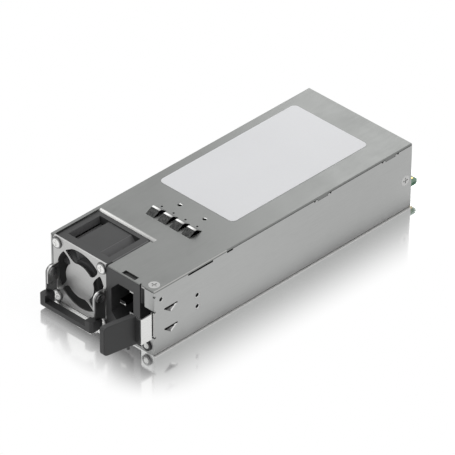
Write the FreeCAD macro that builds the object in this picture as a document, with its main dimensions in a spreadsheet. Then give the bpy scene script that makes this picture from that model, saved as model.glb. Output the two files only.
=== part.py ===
import FreeCAD, Part
import math
import os
import re
import Sketcher

# Hot swap server power supply: a long sheet metal case with a fan and a mains inlet at the front.
# Every piece is drawn in case coordinates, in millimetres: x from the outer face of the left wall,
# y from the front plane towards the rear, z up from the underside.
# One placement moves each piece to the part's own frame, whose origin is the middle of the underside.

SIZES = (
    # Case, as wide and tall as the fan and the inlet make it
    ("case_length", 185.0, "front plane to rear panel"),
    ("wall", 1.0, "steel of the chassis"),
    ("bend", 1.3, "outside radius of the lower folds"),
    ("cover_sheet", 0.8, "steel of the cover"),
    ("cover_gap", 0.1, "play between fan and cover"),
    ("latch_bay", 10.1, "from the inlet to the right wall's outer face"),
    ("cover_seat", 0.3, "seam between cover and walls"),
    ("cover_fold", 0.6, "rounding of the cover's long edges"),
    ("fit", 0.05, "clearance between pieces that fit into each other"),
    ("running", 0.3, "clearance beside pieces that move"),
    # Right front corner of the chassis
    ("flange_upper", 6.8, "width of the upper front flange"),
    ("flange_lower", 9.5, "width of the lower front flange"),
    ("window_low", 10.4, "underside of the latch window"),
    ("window_high", 26.9, "top of the latch window"),
    ("screw_tab_length", 9.0, "depth of the tab under the cover screw"),
    ("screw_tab_width", 8.5, "width of the tab under the cover screw"),
    ("cover_screw_inset", 4.5, "cover screw from both outer faces"),
    # Interlocks between walls and cover
    ("notch_first", 119.5, "middle of the first wall notch from the front"),
    ("notch_rear_gap", 16.0, "middle of the second wall notch from the rear"),
    ("notch_length", 7.5, "length of a wall notch"),
    ("notch_depth", 1.0, "depth of a wall notch"),
    ("nick_length", 1.0, "small nicks beside the wall notches, length"),
    ("nick_depth", 0.7, "depth of those nicks"),
    ("nick_offset", 5.7, "nicks from the middle of a wall notch"),
    ("vent_slot_front", 23.7, "start of the long slot under the cover's edge"),
    ("vent_slot_length", 17.4, "length of that slot"),
    ("cover_lip_length", 51.0, "front stretch where the cover's edge closes the seam"),
    ("seam_notch_length", 4.2, "notch in the wall where the open seam begins"),
    # Lanced darts in the right wall
    ("dart_front", 6.9, "front end of each dart"),
    ("dart_length", 9.2, "length of a dart"),
    ("dart_height", 3.4, "height of a dart"),
    ("dart_depth", 0.75, "how far a dart is pressed in"),
    ("dart_upper", 24.8, "top edge of the upper dart"),
    ("dart_lower", 12.5, "top edge of the lower dart"),
    ("dart_slit", 0.9, "slit above a dart"),
    ("pilot_hole_radius", 1.3, "small hole near the upper front corner"),
    ("pilot_hole_y", 4.8, "that hole from the front"),
    ("pilot_hole_drop", 5.7, "that hole below the wall's top"),
    ("corner_nick", 1.0, "nicks in the fold between wall and front flanges"),
    ("corner_nick_drop", 2.9, "uppermost of those nicks below the wall's top"),
    # Cover
    ("fan_window_left", 2.2, "fan window in the cover, left edge"),
    ("fan_window_right", 41.0, "fan window, right edge"),
    ("fan_window_rear", 31.0, "fan window, rear edge"),
    ("window_hem", 4.0, "depth of the hem along the rear of the fan window"),
    ("hem_thick", 2.0, "thickness of that hem"),
    ("hem_round", 1.8, "rounding of the hem's fold"),
    ("hem_relief", 1.5, "relief cut beside the hem"),
    ("inlet_slot_inset", 10.6, "slot above the inlet, from the inlet's left edge"),
    ("inlet_slot_length", 9.2, "length of that slot"),
    ("inlet_slot_front", 0.5, "slot above the inlet, front edge"),
    ("inlet_slot_width", 3.0, "width of that slot"),
    ("relief", 1.0, "relief notches at the cover's front edge"),
    ("bridge_first", 22.0, "left edge of the first bridge lance"),
    ("bridge_pitch", 8.4, "spacing of the bridge lances"),
    ("bridge_count", 4, "number of bridge lances"),
    ("bridge_width", 5.6, "width of a bridge lance"),
    ("bridge_front", 44.6, "front end of the bridge lances"),
    ("bridge_ramp", 4.5, "length of the long front ramp"),
    ("bridge_crest", 1.3, "length of the crest"),
    ("bridge_fall", 3.7, "length of the short rear ramp"),
    ("bridge_rise", 2.4, "height of the crest above the cover"),
    ("bridge_thin", 0.35, "how much the strips are thinned at the crest"),
    ("tick_radius", 0.6, "small hole behind each bridge lance"),
    ("tick_x", 1.1, "that hole from the lance's left edge"),
    ("tick_gap", 1.1, "that hole behind the lance"),
    ("collar_hole_radius", 1.25, "radius of the two collared holes"),
    ("collar_wall", 0.6, "wall of their collars"),
    ("collar_drop", 1.4, "depth of their collars below the cover"),
    ("collar_hole_y", 62.5, "collared holes from the front"),
    ("collar_left_x", 28.6, "left collared hole"),
    ("collar_right_x", 46.3, "right collared hole"),
    ("skirt_drop", 7.0, "depth of the cover's inner skirts"),
    ("skirt_start", 46.0, "front end of the inner skirts"),
    ("skirt_end_gap", 12.0, "inner skirts stop short of the rear"),
    ("label_left", 5.7, "label, left edge"),
    ("label_width", 52.8, "label, across"),
    ("label_front", 70.1, "label, front edge"),
    ("label_rear_gap", 16.5, "label, rear edge from the rear of the case"),
    ("label_corner", 3.0, "label, corner radius"),
    ("label_sheet", 0.12, "label, thickness"),
    # Fan
    ("fan_size", 38.0, "outside of the square fan frame"),
    ("fan_depth", 30.0, "depth of the fan frame"),
    ("fan_gap", 0.5, "between the left wall and the fan"),
    ("fan_lift", 0.1, "fan above the underside"),
    ("fan_corner", 1.1, "rounding of the fan frame's corners"),
    ("fan_hole_inset", 6.0, "spacing of the fan's fixing holes less than the frame"),
    ("fan_rim", 5.6, "thickness of the frame's front rim"),
    ("fan_rear_rim", 2.4, "thickness of the frame's rear rim"),
    ("fan_side_rim", 4.5, "width of the frame's side rims"),
    ("fan_pocket", 5.0, "depth of the pockets in the frame's sides"),
    ("duct_inset", 1.1, "bore of the fan duct inside the frame's faces"),
    ("duct_wall", 0.8, "wall of the duct at its slanted sides"),
    ("duct_drop", 0.5, "flat sides of the duct below the frame's outside"),
    ("hub_radius", 9.6, "rotor hub"),
    ("hub_wall", 1.3, "wall of the rotor hub"),
    ("hub_front", 4.0, "front of the hub from the front plane"),
    ("hub_length", 20.0, "length of the hub"),
    ("blade_count", 7, "number of blades"),
    ("blade_gap", 0.5, "gap between blade tips and duct"),
    ("blade_front", 5.5, "leading edges from the front plane"),
    ("blade_root_depth", 15.0, "axial depth of a blade at its root"),
    ("blade_tip_depth", 12.0, "axial depth of a blade at its tip"),
    ("blade_root_sweep", 4.2, "half the sideways run of a blade at its root"),
    ("blade_tip_sweep", 6.6, "half the sideways run of a blade at its tip"),
    ("blade_half", 0.55, "half the thickness of a blade"),
    ("blade_camber", 1.1, "camber of a blade"),
    ("shaft_radius", 1.25, "fan shaft"),
    ("shaft_play", 0.03, "radial play between shaft and bearings"),
    ("bearing_radius", 2.6, "outside of the fan bearings"),
    ("bearing_length", 2.3, "length of a bearing"),
    ("tube_wall", 0.9, "wall of the bearing tube"),
    ("tube_length", 17.0, "length of the bearing tube"),
    ("boss_radius", 2.3, "boss that holds the shaft in the hub"),
    ("boss_length", 3.5, "length of that boss"),
    ("magnet_wall", 0.7, "rotor magnet ring"),
    ("magnet_length", 13.0, "length of the magnet ring"),
    ("stator_gap", 0.5, "air gap between magnet and stator"),
    ("stator_length", 9.0, "length of the stator"),
    ("motor_base_radius", 10.4, "plate that carries the motor"),
    ("motor_base", 2.0, "thickness of that plate and its struts"),
    ("strut_width", 2.4, "width of the four struts"),
    # Fan grille with the handle's ears
    ("grille_sheet", 0.8, "steel of the grille"),
    ("grille_clear", 0.1, "grille's opening wider than the duct, radius"),
    ("disc_overlap", 0.4, "grille's centre disc beyond the hub, radius"),
    ("spoke_width", 1.3, "width of the grille's curved spokes"),
    ("grille_rise", 0.1, "top edge of the grille below the cover's top"),
    ("handle_offset", 0.7, "middle of the handle right of the fan axis"),
    ("ear_inset", 4.2, "across the outer faces of the ears less than the fan"),
    ("ear_reach", 7.4, "how far the ears stand forward"),
    ("ear_low", 13.6, "underside of the ears"),
    ("ear_round", 3.6, "radius of the ears' upper front corner"),
    ("pivot_y", 3.9, "handle pivot in front of the front plane"),
    ("pivot_z", 19.9, "handle pivot from the underside"),
    ("pivot_radius", 1.3, "shank of the pivot rivets"),
    ("rivet_head", 2.5, "radius of the rivet heads"),
    ("rivet_head_height", 0.6, "height of the rivet heads"),
    # Bail handle
    ("arm_sheet", 0.8, "steel of the handle's arms"),
    ("arm_half", 3.5, "half the width of an arm"),
    ("arm_play", 0.1, "side play between arm and ear"),
    ("grip_inset", 0.2, "grip, across, less than the fan"),
    ("grip_front", 11.4, "front of the grip ahead of the front plane"),
    ("grip_rear", 3.6, "rear ends of the grip ahead of the front plane"),
    ("grip_low", 2.0, "underside of the grip"),
    ("grip_high", 8.8, "top of the grip's corner posts"),
    ("grip_tail", 6.2, "top of the grip's rear ends"),
    ("grip_bar_high", 5.0, "top of the grip's front bar"),
    ("grip_bar_depth", 4.1, "depth of the front bar"),
    ("grip_end", 3.6, "width of the grip's side pieces"),
    ("grip_corner", 1.8, "rounding of the grip's front corners"),
    ("grip_edge", 0.6, "softening of the grip's lower edges"),
    ("post_width", 4.6, "length of the corner posts along the bar"),
    ("arm_foot", 2.8, "lower end of the arms inside the grip"),
    ("arm_shoulder", 6.9, "height where the arms narrow to enter the grip"),
    ("arm_shoulder_step", 3.3, "how much they narrow at the rear"),
    # Mains inlet
    ("inlet_width", 23.8, "front frame, across"),
    ("inlet_gap", 0.1, "between fan and inlet"),
    ("inlet_top_gap", 1.0, "front frame below the cover's top"),
    ("inlet_low", 1.1, "front frame, underside"),
    ("inlet_plate", 6.0, "front frame, thickness"),
    ("inlet_corner", 0.8, "front frame, corner rounding"),
    ("socket_inset", 3.4, "recess, from the frame's left edge"),
    ("socket_width", 15.7, "recess, across"),
    ("socket_height", 24.0, "recess, tall"),
    ("socket_z", 19.4, "middle of the recess from the underside"),
    ("socket_chamfer", 5.0, "slanted corners on the earth side"),
    ("socket_depth", 17.0, "depth of the recess"),
    ("socket_wall", 1.5, "walls round the recess"),
    ("socket_floor", 4.0, "back wall of the recess"),
    ("blade_pin_thick", 2.0, "contact pins, thickness"),
    ("blade_pin_wide", 4.0, "contact pins, width"),
    ("pin_spread", 14.0, "line pin to neutral pin"),
    ("pin_offset", 4.0, "earth pin beside the line of the other two"),
    ("live_pin_front", 4.4, "line and neutral tips behind the front plane"),
    ("earth_pin_front", 1.6, "earth tip behind the front plane"),
    ("pin_tail", 5.0, "contact pins behind the back wall"),
    ("pin_tip", 0.7, "chamfers at the tips of the contact pins"),
    ("inlet_board_sheet", 1.6, "terminal board behind the inlet"),
    # Latch
    ("leaf_sheet", 0.7, "spring steel of the latch leaf"),
    ("leaf_gap", 0.3, "gap between leaf and wall"),
    ("leaf_low", 11.2, "underside of the leaf"),
    ("leaf_high", 26.4, "top of the leaf"),
    ("leaf_hinge", 26.0, "where the leaf bends, from the front plane"),
    ("leaf_foot", 36.0, "rear end of the riveted foot"),
    ("leaf_jog", 1.1, "outward step of the leaf at the front"),
    ("leaf_step_start", 0.3, "start of that step ahead of the front plane"),
    ("leaf_step_length", 1.4, "length of that step"),
    ("shoulder_reach", 8.7, "locking shoulder ahead of the front plane"),
    ("tongue_inset", 5.9, "tongue inside the tab from the shoulder's edge"),
    ("tongue_reach", 24.5, "tip of the tongue ahead of the front plane"),
    ("tongue_margin", 1.9, "tongue narrower than the leaf, each side"),
    ("tab_outer", 4.0, "tab's outer face inside the right wall's outer face"),
    ("tab_thick", 3.5, "thickness of the tab"),
    ("tab_reach", 27.6, "front end of the tab ahead of the front plane"),
    ("tab_lean", 3.4, "front end of the tab nearer the inlet than its root"),
    ("tab_low", 9.7, "underside of the tab"),
    ("tab_high", 27.0, "top of the tab"),
    ("tab_corner", 2.4, "corner radius of the tab"),
    ("tab_edge", 0.6, "softened edges of the tab"),
    ("tab_nub_y", 12.5, "small nub under the tab, ahead of the front plane"),
    ("tab_nub", 1.2, "size of that nub"),
    ("tab_nub_drop", 1.9, "height of that nub"),
    ("collar_depth", 0.5, "thin collar of the tab in front of the shoulder"),
    ("collar_step", 0.6, "collar inside the shoulder's outer edge"),
    ("collar_trim", 0.4, "collar below and above the leaf's edges"),
    ("latch_rivet_y", 30.0, "latch rivets from the front"),
    ("latch_rivet_high", 22.2, "upper latch rivet"),
    ("latch_rivet_low", 15.4, "lower latch rivet"),
    ("latch_rivet_radius", 1.8, "latch rivets"),
    ("latch_rivet_eye", 1.3, "hollow of the latch rivets"),
    # Indicator
    ("lamp_inset", 5.1, "indicator from the right wall's outer face"),
    ("lamp_z", 4.4, "indicator from the underside"),
    ("lamp_bezel", 3.0, "radius of the bezel"),
    ("lamp_neck", 2.2, "radius of the bezel's neck"),
    ("lamp_lens", 1.7, "radius of the lens"),
    ("lamp_bezel_height", 0.9, "bezel in front of the flange"),
    ("lamp_neck_length", 3.0, "neck behind the front plane"),
    ("lamp_dome", 0.5, "lens in front of the bezel"),
    # Boards
    ("board_sheet", 2.0, "main board"),
    ("board_z", 8.2, "underside of the main board"),
    ("board_left", 4.0, "main board, left edge"),
    ("board_margin", 3.2, "main board, right edge from the right wall's outer face"),
    ("board_front", 33.0, "main board, front edge"),
    ("board_rear_gap", 1.5, "main board in front of the rear panel"),
    ("edge_left", 12.0, "card edge, left"),
    ("edge_margin", 4.1, "card edge, right side from the right wall's outer face"),
    ("edge_reach", 9.8, "card edge behind the case"),
    ("edge_chamfer", 2.0, "corners of the card edge"),
    ("contact_length", 7.0, "gold contacts, length"),
    ("contact_width", 1.6, "gold contacts, width"),
    ("contact_pitch", 2.4, "gold contacts, spacing"),
    ("contact_sheet", 0.08, "gold contacts, thickness"),
    ("contact_count", 22, "gold contacts on each face"),
    ("standoff_radius", 2.4, "board standoffs"),
    ("standoff_inset_x", 9.0, "standoffs from the side walls"),
    ("standoff_front", 42.0, "front standoffs"),
    ("standoff_rear_gap", 13.0, "rear standoffs from the rear"),
    ("board_screw_radius", 1.2, "board screws"),
    ("insulator", 0.4, "insulating sheet on the floor"),
    # Parts on the main board
    ("bulk_length", 38.0, "bulk capacitor, length"),
    ("bulk_x", 19.0, "bulk capacitor, axis"),
    ("bulk_front", 53.0, "bulk capacitor, front end"),
    ("bulk_lift", 0.3, "bulk capacitor above the board"),
    ("bulk_gap", 2.1, "bulk capacitor below the cover"),
    ("output_can_radius", 4.8, "output capacitors"),
    ("output_can_height", 17.0, "output capacitors, height"),
    ("output_can_pitch", 10.2, "output capacitors, spacing"),
    ("output_can_count", 5, "output capacitors, number"),
    ("output_can_x", 16.0, "first output capacitor"),
    ("output_can_gap", 25.0, "output capacitors from the rear"),
    ("bus_bar_sheet", 2.0, "output bus bars, thickness"),
    ("bus_bar_height", 9.0, "output bus bars, height"),
    ("bus_bar_length", 40.0, "output bus bars, length"),
    ("bus_bar_x", 17.0, "output bus bars, left end"),
    ("bus_bar_gap", 15.0, "first output bus bar from the rear"),
    ("bus_bar_pitch", 5.0, "output bus bars, spacing"),
    ("core_margin", 46.5, "transformer core, left face from the right wall's outer face"),
    ("core_gap", 67.0, "transformer core, front face from the rear"),
    ("core_width", 32.0, "transformer core, across"),
    ("core_depth", 27.0, "transformer core, along"),
    ("core_height", 23.0, "transformer core, height"),
    ("core_window", 7.0, "winding windows of the core"),
    ("core_post", 10.0, "middle post of the core"),
    ("core_yoke", 5.0, "yokes of the core"),
    ("choke_radius", 11.0, "power factor choke, outside"),
    ("choke_bore", 4.5, "power factor choke, bore"),
    ("choke_height", 12.0, "power factor choke, height"),
    ("choke_x", 46.0, "power factor choke, axis across"),
    ("choke_gap", 87.0, "power factor choke, axis from the rear"),
    ("filter_choke_radius", 9.3, "mains filter choke, outside"),
    ("filter_choke_bore", 5.0, "mains filter choke, bore"),
    ("filter_choke_height", 11.0, "mains filter choke, height"),
    ("filter_choke_margin", 23.0, "mains filter choke, axis from the right wall's outer face"),
    ("filter_choke_y", 48.0, "mains filter choke, axis from the front"),
    ("film_cap_x", 13.0, "mains film capacitor, left face"),
    ("film_cap_y", 39.0, "mains film capacitor, front face"),
    ("film_cap_width", 18.0, "mains film capacitor, across"),
    ("film_cap_length", 9.0, "mains film capacitor, thickness"),
    ("film_cap_height", 16.0, "mains film capacitor, height"),
    ("fuse_radius", 2.6, "mains fuse"),
    ("fuse_length", 16.0, "mains fuse, length"),
    ("fuse_x", 34.2, "mains fuse, axis"),
    ("fuse_y", 35.0, "mains fuse, front end"),
    ("fin_plate", 2.0, "heatsink, base plate"),
    ("fin_margin", 12.5, "heatsink, left face from the right wall's outer face"),
    ("fin_gap", 115.0, "heatsink, front face from the rear"),
    ("fin_length", 76.0, "heatsink, length"),
    ("fin_height", 22.0, "heatsink, height"),
    ("fin_depth", 5.0, "heatsink, fins"),
    ("fin_sheet", 1.2, "heatsink, thickness of a fin"),
    ("fin_pitch", 5.2, "heatsink, spacing of fins"),
    ("fin_count", 5, "heatsink, number of fins"),
    ("control_x", 9.0, "control board, left face"),
    ("control_gap", 63.0, "control board, front edge from the rear"),
    ("control_sheet", 1.6, "control board, thickness"),
    ("control_length", 28.0, "control board, length"),
    ("control_height", 20.0, "control board, height"),
    # Rear panel
    ("rear_sheet", 1.0, "rear panel"),
    ("rear_flange", 9.0, "rear panel's side flanges"),
    ("rear_flange_low", 11.5, "underside of those flanges"),
    ("rear_flange_high", 26.0, "top of those flanges"),
    ("rear_slot_margin", 1.4, "opening round the card edge"),
    ("vent_radius", 1.9, "rear vent holes"),
    ("vent_pitch", 5.2, "spacing of the vent holes"),
    ("vent_first_z", 16.0, "lowest row of vent holes"),
    ("vent_margin", 5.5, "vent holes from the side walls"),
    ("vent_rows", 4, "rows of vent holes"),
    ("side_screw_y", 4.4, "side screws in front of the rear panel's face"),
    ("side_screw_z", 18.2, "side screws from the underside"),
    # Fasteners
    ("flat_head", 3.0, "radius of the flat heads"),
    ("flat_head_height", 0.6, "height of the flat heads"),
    ("screw_radius", 1.5, "case screws"),
    ("screw_length", 5.0, "case screws under the head"),
    ("pan_head", 3.0, "radius of the fan screws' heads"),
    ("pan_head_height", 0.9, "height of the fan screws' heads"),
    ("fan_screw_radius", 1.8, "fan screws"),
    ("fan_screw_length", 4.0, "fan screws under the head"),
    ("cross_width", 0.7, "cross recess, width"),
    ("cross_reach", 1.7, "cross recess, half span"),
    ("cross_depth", 0.4, "cross recess, depth"),
)

# Sizes and places that follow from the sizes above, usable in formulas by name
TIED = {
    "case_width": "(wall + fan_gap + fan_size + inlet_gap + inlet_width + latch_bay)",
    "case_height": "(fan_lift + fan_size + cover_gap + cover_sheet)",
    "fan_x": "(wall + fan_gap + fan_size / 2)",
    "fan_z": "(fan_lift + fan_size / 2)",
    "fan_pitch": "(fan_size - fan_hole_inset)",
    "duct_radius": "(fan_size / 2 - duct_inset)",
    "duct_flat": "(sqrt(2) * (duct_radius + duct_wall) - (fan_size / 2 - duct_drop))",
    "grille_opening": "(duct_radius + grille_clear)",
    "grille_disc": "(hub_radius + disc_overlap)",
    "ear_span": "(fan_size - ear_inset)",
    "grip_span": "(fan_size - grip_inset)",
    "inlet_left": "(wall + fan_gap + fan_size + inlet_gap)",
    "inlet_high": "(case_height - inlet_top_gap)",
    "inlet_slot_left": "(inlet_left + inlet_slot_inset)",
    "socket_left": "(inlet_left + socket_inset)",
    "pin_middle": "(socket_left + socket_width / 2)",
    "handle_x": "(fan_x + handle_offset)",
    "ear_left": "(handle_x - ear_span / 2)",
    "ear_right": "(handle_x + ear_span / 2)",
    "grip_left": "(handle_x - grip_span / 2)",
    "grip_right": "(handle_x + grip_span / 2)",
    "lamp_x": "(case_width - lamp_inset)",
    "notch_second": "(case_length - notch_rear_gap)",
    "label_length": "(case_length - label_rear_gap - label_front)",
    "board_right": "(case_width - board_margin)",
    "edge_right": "(case_width - edge_margin)",
    "standoff_rear": "(case_length - standoff_rear_gap)",
    "bulk_radius": "((case_height - cover_sheet - bulk_gap - bulk_lift - board_z - board_sheet) / 2)",
    "output_can_y": "(case_length - output_can_gap)",
    "bus_bar_y": "(case_length - bus_bar_gap)",
    "core_x": "(case_width - core_margin)",
    "core_y": "(case_length - core_gap)",
    "choke_y": "(case_length - choke_gap)",
    "filter_choke_x": "(case_width - filter_choke_margin)",
    "fin_x": "(case_width - fin_margin)",
    "fin_y": "(case_length - fin_gap)",
    "control_y": "(case_length - control_gap)",
}

# Places in the case
WALL_TOP = "(case_height - cover_sheet - cover_seat)"
COVER_LOW = "(case_height - cover_sheet)"
RIGHT = "case_width"
RIGHT_IN = "(case_width - wall)"
REAR = "case_length"
FAN_LEFT = "(fan_x - fan_size / 2)"
FAN_RIGHT = "(fan_x + fan_size / 2)"
FAN_LOW = "(fan_z - fan_size / 2)"
FAN_HIGH = "(fan_z + fan_size / 2)"
FAN_FRONT = "grille_sheet"
FAN_REAR = "(grille_sheet + fan_depth)"
HUB_REAR = "(hub_front + hub_length)"
TUBE_FRONT = "(grille_sheet + fan_depth - motor_base - tube_length)"
TUBE_REAR = "(grille_sheet + fan_depth - motor_base)"
TUBE_BORE = "(bearing_radius + fit / 2)"
MAGNET_OUT = "(hub_radius - hub_wall - fit / 2)"
MAGNET_IN = "(hub_radius - hub_wall - fit / 2 - magnet_wall)"
EAR_LEFT_IN = "(ear_left + grille_sheet)"
EAR_RIGHT_IN = "(ear_right - grille_sheet)"
ARM_LEFT = "(ear_left - arm_play - arm_sheet)"
ARM_RIGHT = "(ear_right + arm_play)"
INLET_RIGHT = "(inlet_left + inlet_width)"
SOCKET_RIGHT = "(socket_left + socket_width)"
SOCKET_LOW = "(socket_z - socket_height / 2)"
SOCKET_HIGH = "(socket_z + socket_height / 2)"
SOCKET_BACK = "(socket_depth + socket_floor)"
LEAF_OUT = "(case_width - wall - leaf_gap)"
LEAF_IN = "(case_width - wall - leaf_gap - leaf_sheet)"
PLATE_OUT = "(case_width - wall - leaf_gap + leaf_jog)"
PLATE_IN = "(case_width - wall - leaf_gap + leaf_jog - leaf_sheet)"
TONGUE_OUT = "(case_width - wall - leaf_gap + leaf_jog - tongue_inset + leaf_sheet)"
TONGUE_IN = "(case_width - wall - leaf_gap + leaf_jog - tongue_inset)"
TONGUE_LEAN = "(tab_lean * (tongue_reach - shoulder_reach) / (tab_reach - shoulder_reach))"
SHEET_LEAN = "(tab_lean * leaf_sheet / (tab_reach - shoulder_reach))"
NUB_LEAN = "(tab_lean * (tab_nub_y - shoulder_reach) / (tab_reach - shoulder_reach))"
TAB_OUT = "(case_width - tab_outer)"
TAB_IN = "(case_width - tab_outer - tab_thick)"
BOARD_TOP = "(board_z + board_sheet)"
BOARD_REAR = "(case_length - rear_sheet - board_rear_gap)"
EDGE_TIP = "(case_length + edge_reach)"
FLOOR = "wall"
PINS = {
    "line_pin": ("(pin_middle + pin_offset / 2)", "(socket_z + pin_spread / 2)", "live_pin_front"),
    "neutral_pin": ("(pin_middle + pin_offset / 2)", "(socket_z - pin_spread / 2)",
                    "live_pin_front"),
    "earth_pin": ("(pin_middle - pin_offset / 2)", "socket_z", "earth_pin_front"),
}
STANDOFFS = [(x, y) for x in ("standoff_inset_x", "(case_width - standoff_inset_x)")
             for y in ("standoff_front", "standoff_rear")]

V = FreeCAD.Vector
NAMES = {name for name, value, note in SIZES}
BLADE_STEPS = 4
SPOKE_STEPS = 5
HEM_STEPS = 6
SPOKE_ROOT_ANGLE = 29
SPOKE_TIP_ANGLE = 40
PLANES = {"XY": ("XY_Plane", 1), "XZ": ("XZ_Plane", -1), "YZ": ("YZ_Plane", 1)}
TURNS = {
    "X": FreeCAD.Rotation(V(0, 1, 0), 90),
    "-X": FreeCAD.Rotation(V(0, 1, 0), -90),
    "Y": FreeCAD.Rotation(V(1, 0, 0), -90),
    "-Y": FreeCAD.Rotation(V(1, 0, 0), 90),
    "Z": FreeCAD.Rotation(),
    "-Z": FreeCAD.Rotation(V(1, 0, 0), 180),
}

doc = FreeCAD.newDocument("hot_swap_power_supply")
sheet = doc.addObject("Spreadsheet::Sheet", "Sizes")
for row, (name, value, note) in enumerate(SIZES, start=1):
    sheet.set("A%d" % row, name)
    sheet.set("B%d" % row, str(value))
    sheet.set("C%d" % row, note)
    sheet.setAlias("B%d" % row, name)
doc.recompute()

nodes = {}
bases = {}


# Formulas and placements

def bind(formula):
    """The formula with each size written as a cell of the sheet."""
    def cell(match):
        word = match.group(0)
        if word in TIED:
            return bind(TIED[word])
        return "Sizes." + word if word in NAMES else word
    return re.sub(r"[a-z]\w*", cell, formula)


def num(formula):
    """The value of a formula, for choosing edges and for the shapes set directly."""
    return float(sheet.evalExpression(bind(formula)))


def count(formula):
    return int(round(num(formula)))


def place(thing, base=("0", "0", "0")):
    """Moves a piece from case coordinates to the part's frame."""
    thing.setExpression(".Placement.Base.x", bind("%s - case_width / 2" % base[0]))
    thing.setExpression(".Placement.Base.y", bind("%s - case_length / 2" % base[1]))
    thing.setExpression(".Placement.Base.z", bind(base[2]))


def keep(label, thing):
    """Names a finished piece and places it."""
    thing.Label = label
    place(thing, bases.get(thing.Name, ("0", "0", "0")))
    nodes[label] = thing
    return thing


# Sketches and features

def new_body(name):
    return doc.addObject("PartDesign::Body", name)


def sketch_on(body, name, plane, level):
    role, sign = PLANES[plane]
    sketch = body.newObject("Sketcher::SketchObject", name)
    support = [item for item in body.Origin.OriginFeatures if item.Role == role][0]
    sketch.AttachmentSupport = (support, [""])
    sketch.MapMode = "FlatFace"
    sketch.setExpression(".AttachmentOffset.Base.z", bind("(%s) * %d" % (level, sign)))
    return sketch


def fix_point(sketch, geometry, point, across, up):
    for kind, formula in (("DistanceX", across), ("DistanceY", up)):
        rule = Sketcher.Constraint(kind, -1, 1, geometry, point, num(formula))
        index = sketch.addConstraint(rule)
        sketch.setExpression("Constraints[%d]" % index, bind(formula))


def add_outline(sketch, points):
    """A closed outline of straight lines."""
    corners = [V(num(across), num(up), 0) for across, up in points]
    lines = [sketch.addGeometry(Part.LineSegment(begin, finish), False)
             for begin, finish in zip(corners, corners[1:] + corners[:1])]
    for line, following in zip(lines, lines[1:] + lines[:1]):
        sketch.addConstraint(Sketcher.Constraint("Coincident", line, 2, following, 1))
    for line, (across, up) in zip(lines, points):
        fix_point(sketch, line, 1, across, up)


def add_circle(sketch, across, up, radius):
    circle = Part.Circle(V(num(across), num(up), 0), V(0, 0, 1), num(radius))
    item = sketch.addGeometry(circle, False)
    fix_point(sketch, item, 3, across, up)
    index = sketch.addConstraint(Sketcher.Constraint("Radius", item, num(radius)))
    sketch.setExpression("Constraints[%d]" % index, bind(radius))


def draw(body, name, plane, level, outlines=(), circles=()):
    sketch = sketch_on(body, name + "_sketch", plane, level)
    for points in outlines:
        add_outline(sketch, points)
    for across, up, radius in circles:
        add_circle(sketch, across, up, radius)
    return sketch


def raise_form(body, name, plane, level, length, outlines=(), circles=()):
    """Adds material from the level, towards the plane's positive side."""
    feature = body.newObject("PartDesign::Pad", name)
    feature.Profile = draw(body, name, plane, level, outlines, circles)
    feature.setExpression("Length", bind(length))
    feature.Reversed = plane == "XZ"
    return feature


def cut_form(body, name, plane, level, length, outlines=(), circles=()):
    """Removes material from the level, towards the plane's positive side."""
    feature = body.newObject("PartDesign::Pocket", name)
    feature.Profile = draw(body, name, plane, level, outlines, circles)
    feature.setExpression("Length", bind(length))
    feature.Reversed = plane != "XZ"
    return feature


def rect(left, right, low, high):
    return [(left, low), (right, low), (right, high), (left, high)]


def edges_along(shape, axis, places):
    """Names of the straight edges that run along the axis through any of the given places."""
    others = [index for index in range(3) if index != "XYZ".index(axis)]
    found = []
    for number, edge in enumerate(shape.Edges, start=1):
        if edge.Curve.TypeId != "Part::GeomLine":
            continue
        one, two = edge.Vertexes[0].Point, edge.Vertexes[-1].Point
        for place_at in places:
            aims = [num(item) for item in place_at]
            if all(abs(end[other] - aim) < 1e-4
                   for end in (one, two) for other, aim in zip(others, aims)):
                found.append("Edge%d" % number)
    return found


def level_edges(shape, levels, least):
    """Names of the edges longer than the least length whose ends lie at one of the levels."""
    heights = [num(level) for level in levels]
    return ["Edge%d" % number for number, edge in enumerate(shape.Edges, start=1)
            if edge.Length > num(least) and any(
                all(abs(end.Z - height) < 1e-4 for end in edge.Vertexes) for height in heights)]


def soften(body, name, radius, axis, places):
    """Rounds the straight edges along one axis at the given places."""
    doc.recompute()
    base = body.Tip
    feature = body.newObject("PartDesign::Fillet", name)
    feature.Base = (base, edges_along(base.Shape, axis, places))
    feature.setExpression("Radius", bind(radius))
    return feature


def row_of(body, name, feature, role, length, copies):
    """Repeats a feature in a straight row along a sketch axis of its own sketch."""
    pattern = body.newObject("PartDesign::LinearPattern", name)
    pattern.Originals = [feature]
    pattern.Direction = (feature.Profile[0], [role])
    pattern.setExpression("Length", bind(length))
    pattern.setExpression("Occurrences", bind(copies))
    body.Tip = pattern
    return pattern


# Plain solids

def block(name, left, right, front, rear, low, high):
    box = doc.addObject("Part::Box", name)
    box.setExpression("Length", bind("%s - (%s)" % (right, left)))
    box.setExpression("Width", bind("%s - (%s)" % (rear, front)))
    box.setExpression("Height", bind("%s - (%s)" % (high, low)))
    box.setExpression(".Placement.Base.x", bind(left))
    box.setExpression(".Placement.Base.y", bind(front))
    box.setExpression(".Placement.Base.z", bind(low))
    bases[box.Name] = ("(%s)" % left, "(%s)" % front, "(%s)" % low)
    return box


def rod(name, axis, base, radius, length):
    """A cylinder from its base point, along the axis."""
    cylinder = doc.addObject("Part::Cylinder", name)
    cylinder.setExpression("Radius", bind(radius))
    cylinder.setExpression("Height", bind(length))
    cylinder.Placement = FreeCAD.Placement(V(), TURNS[axis])
    for letter, formula in zip("xyz", base):
        cylinder.setExpression(".Placement.Base." + letter, bind(formula))
    bases[cylinder.Name] = tuple("(%s)" % item for item in base)
    return cylinder


def joined(name, things):
    union = doc.addObject("Part::MultiFuse", name)
    union.Shapes = things
    return union


def grouped(name, things):
    group = doc.addObject("Part::Compound", name)
    group.Links = things
    return group


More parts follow.
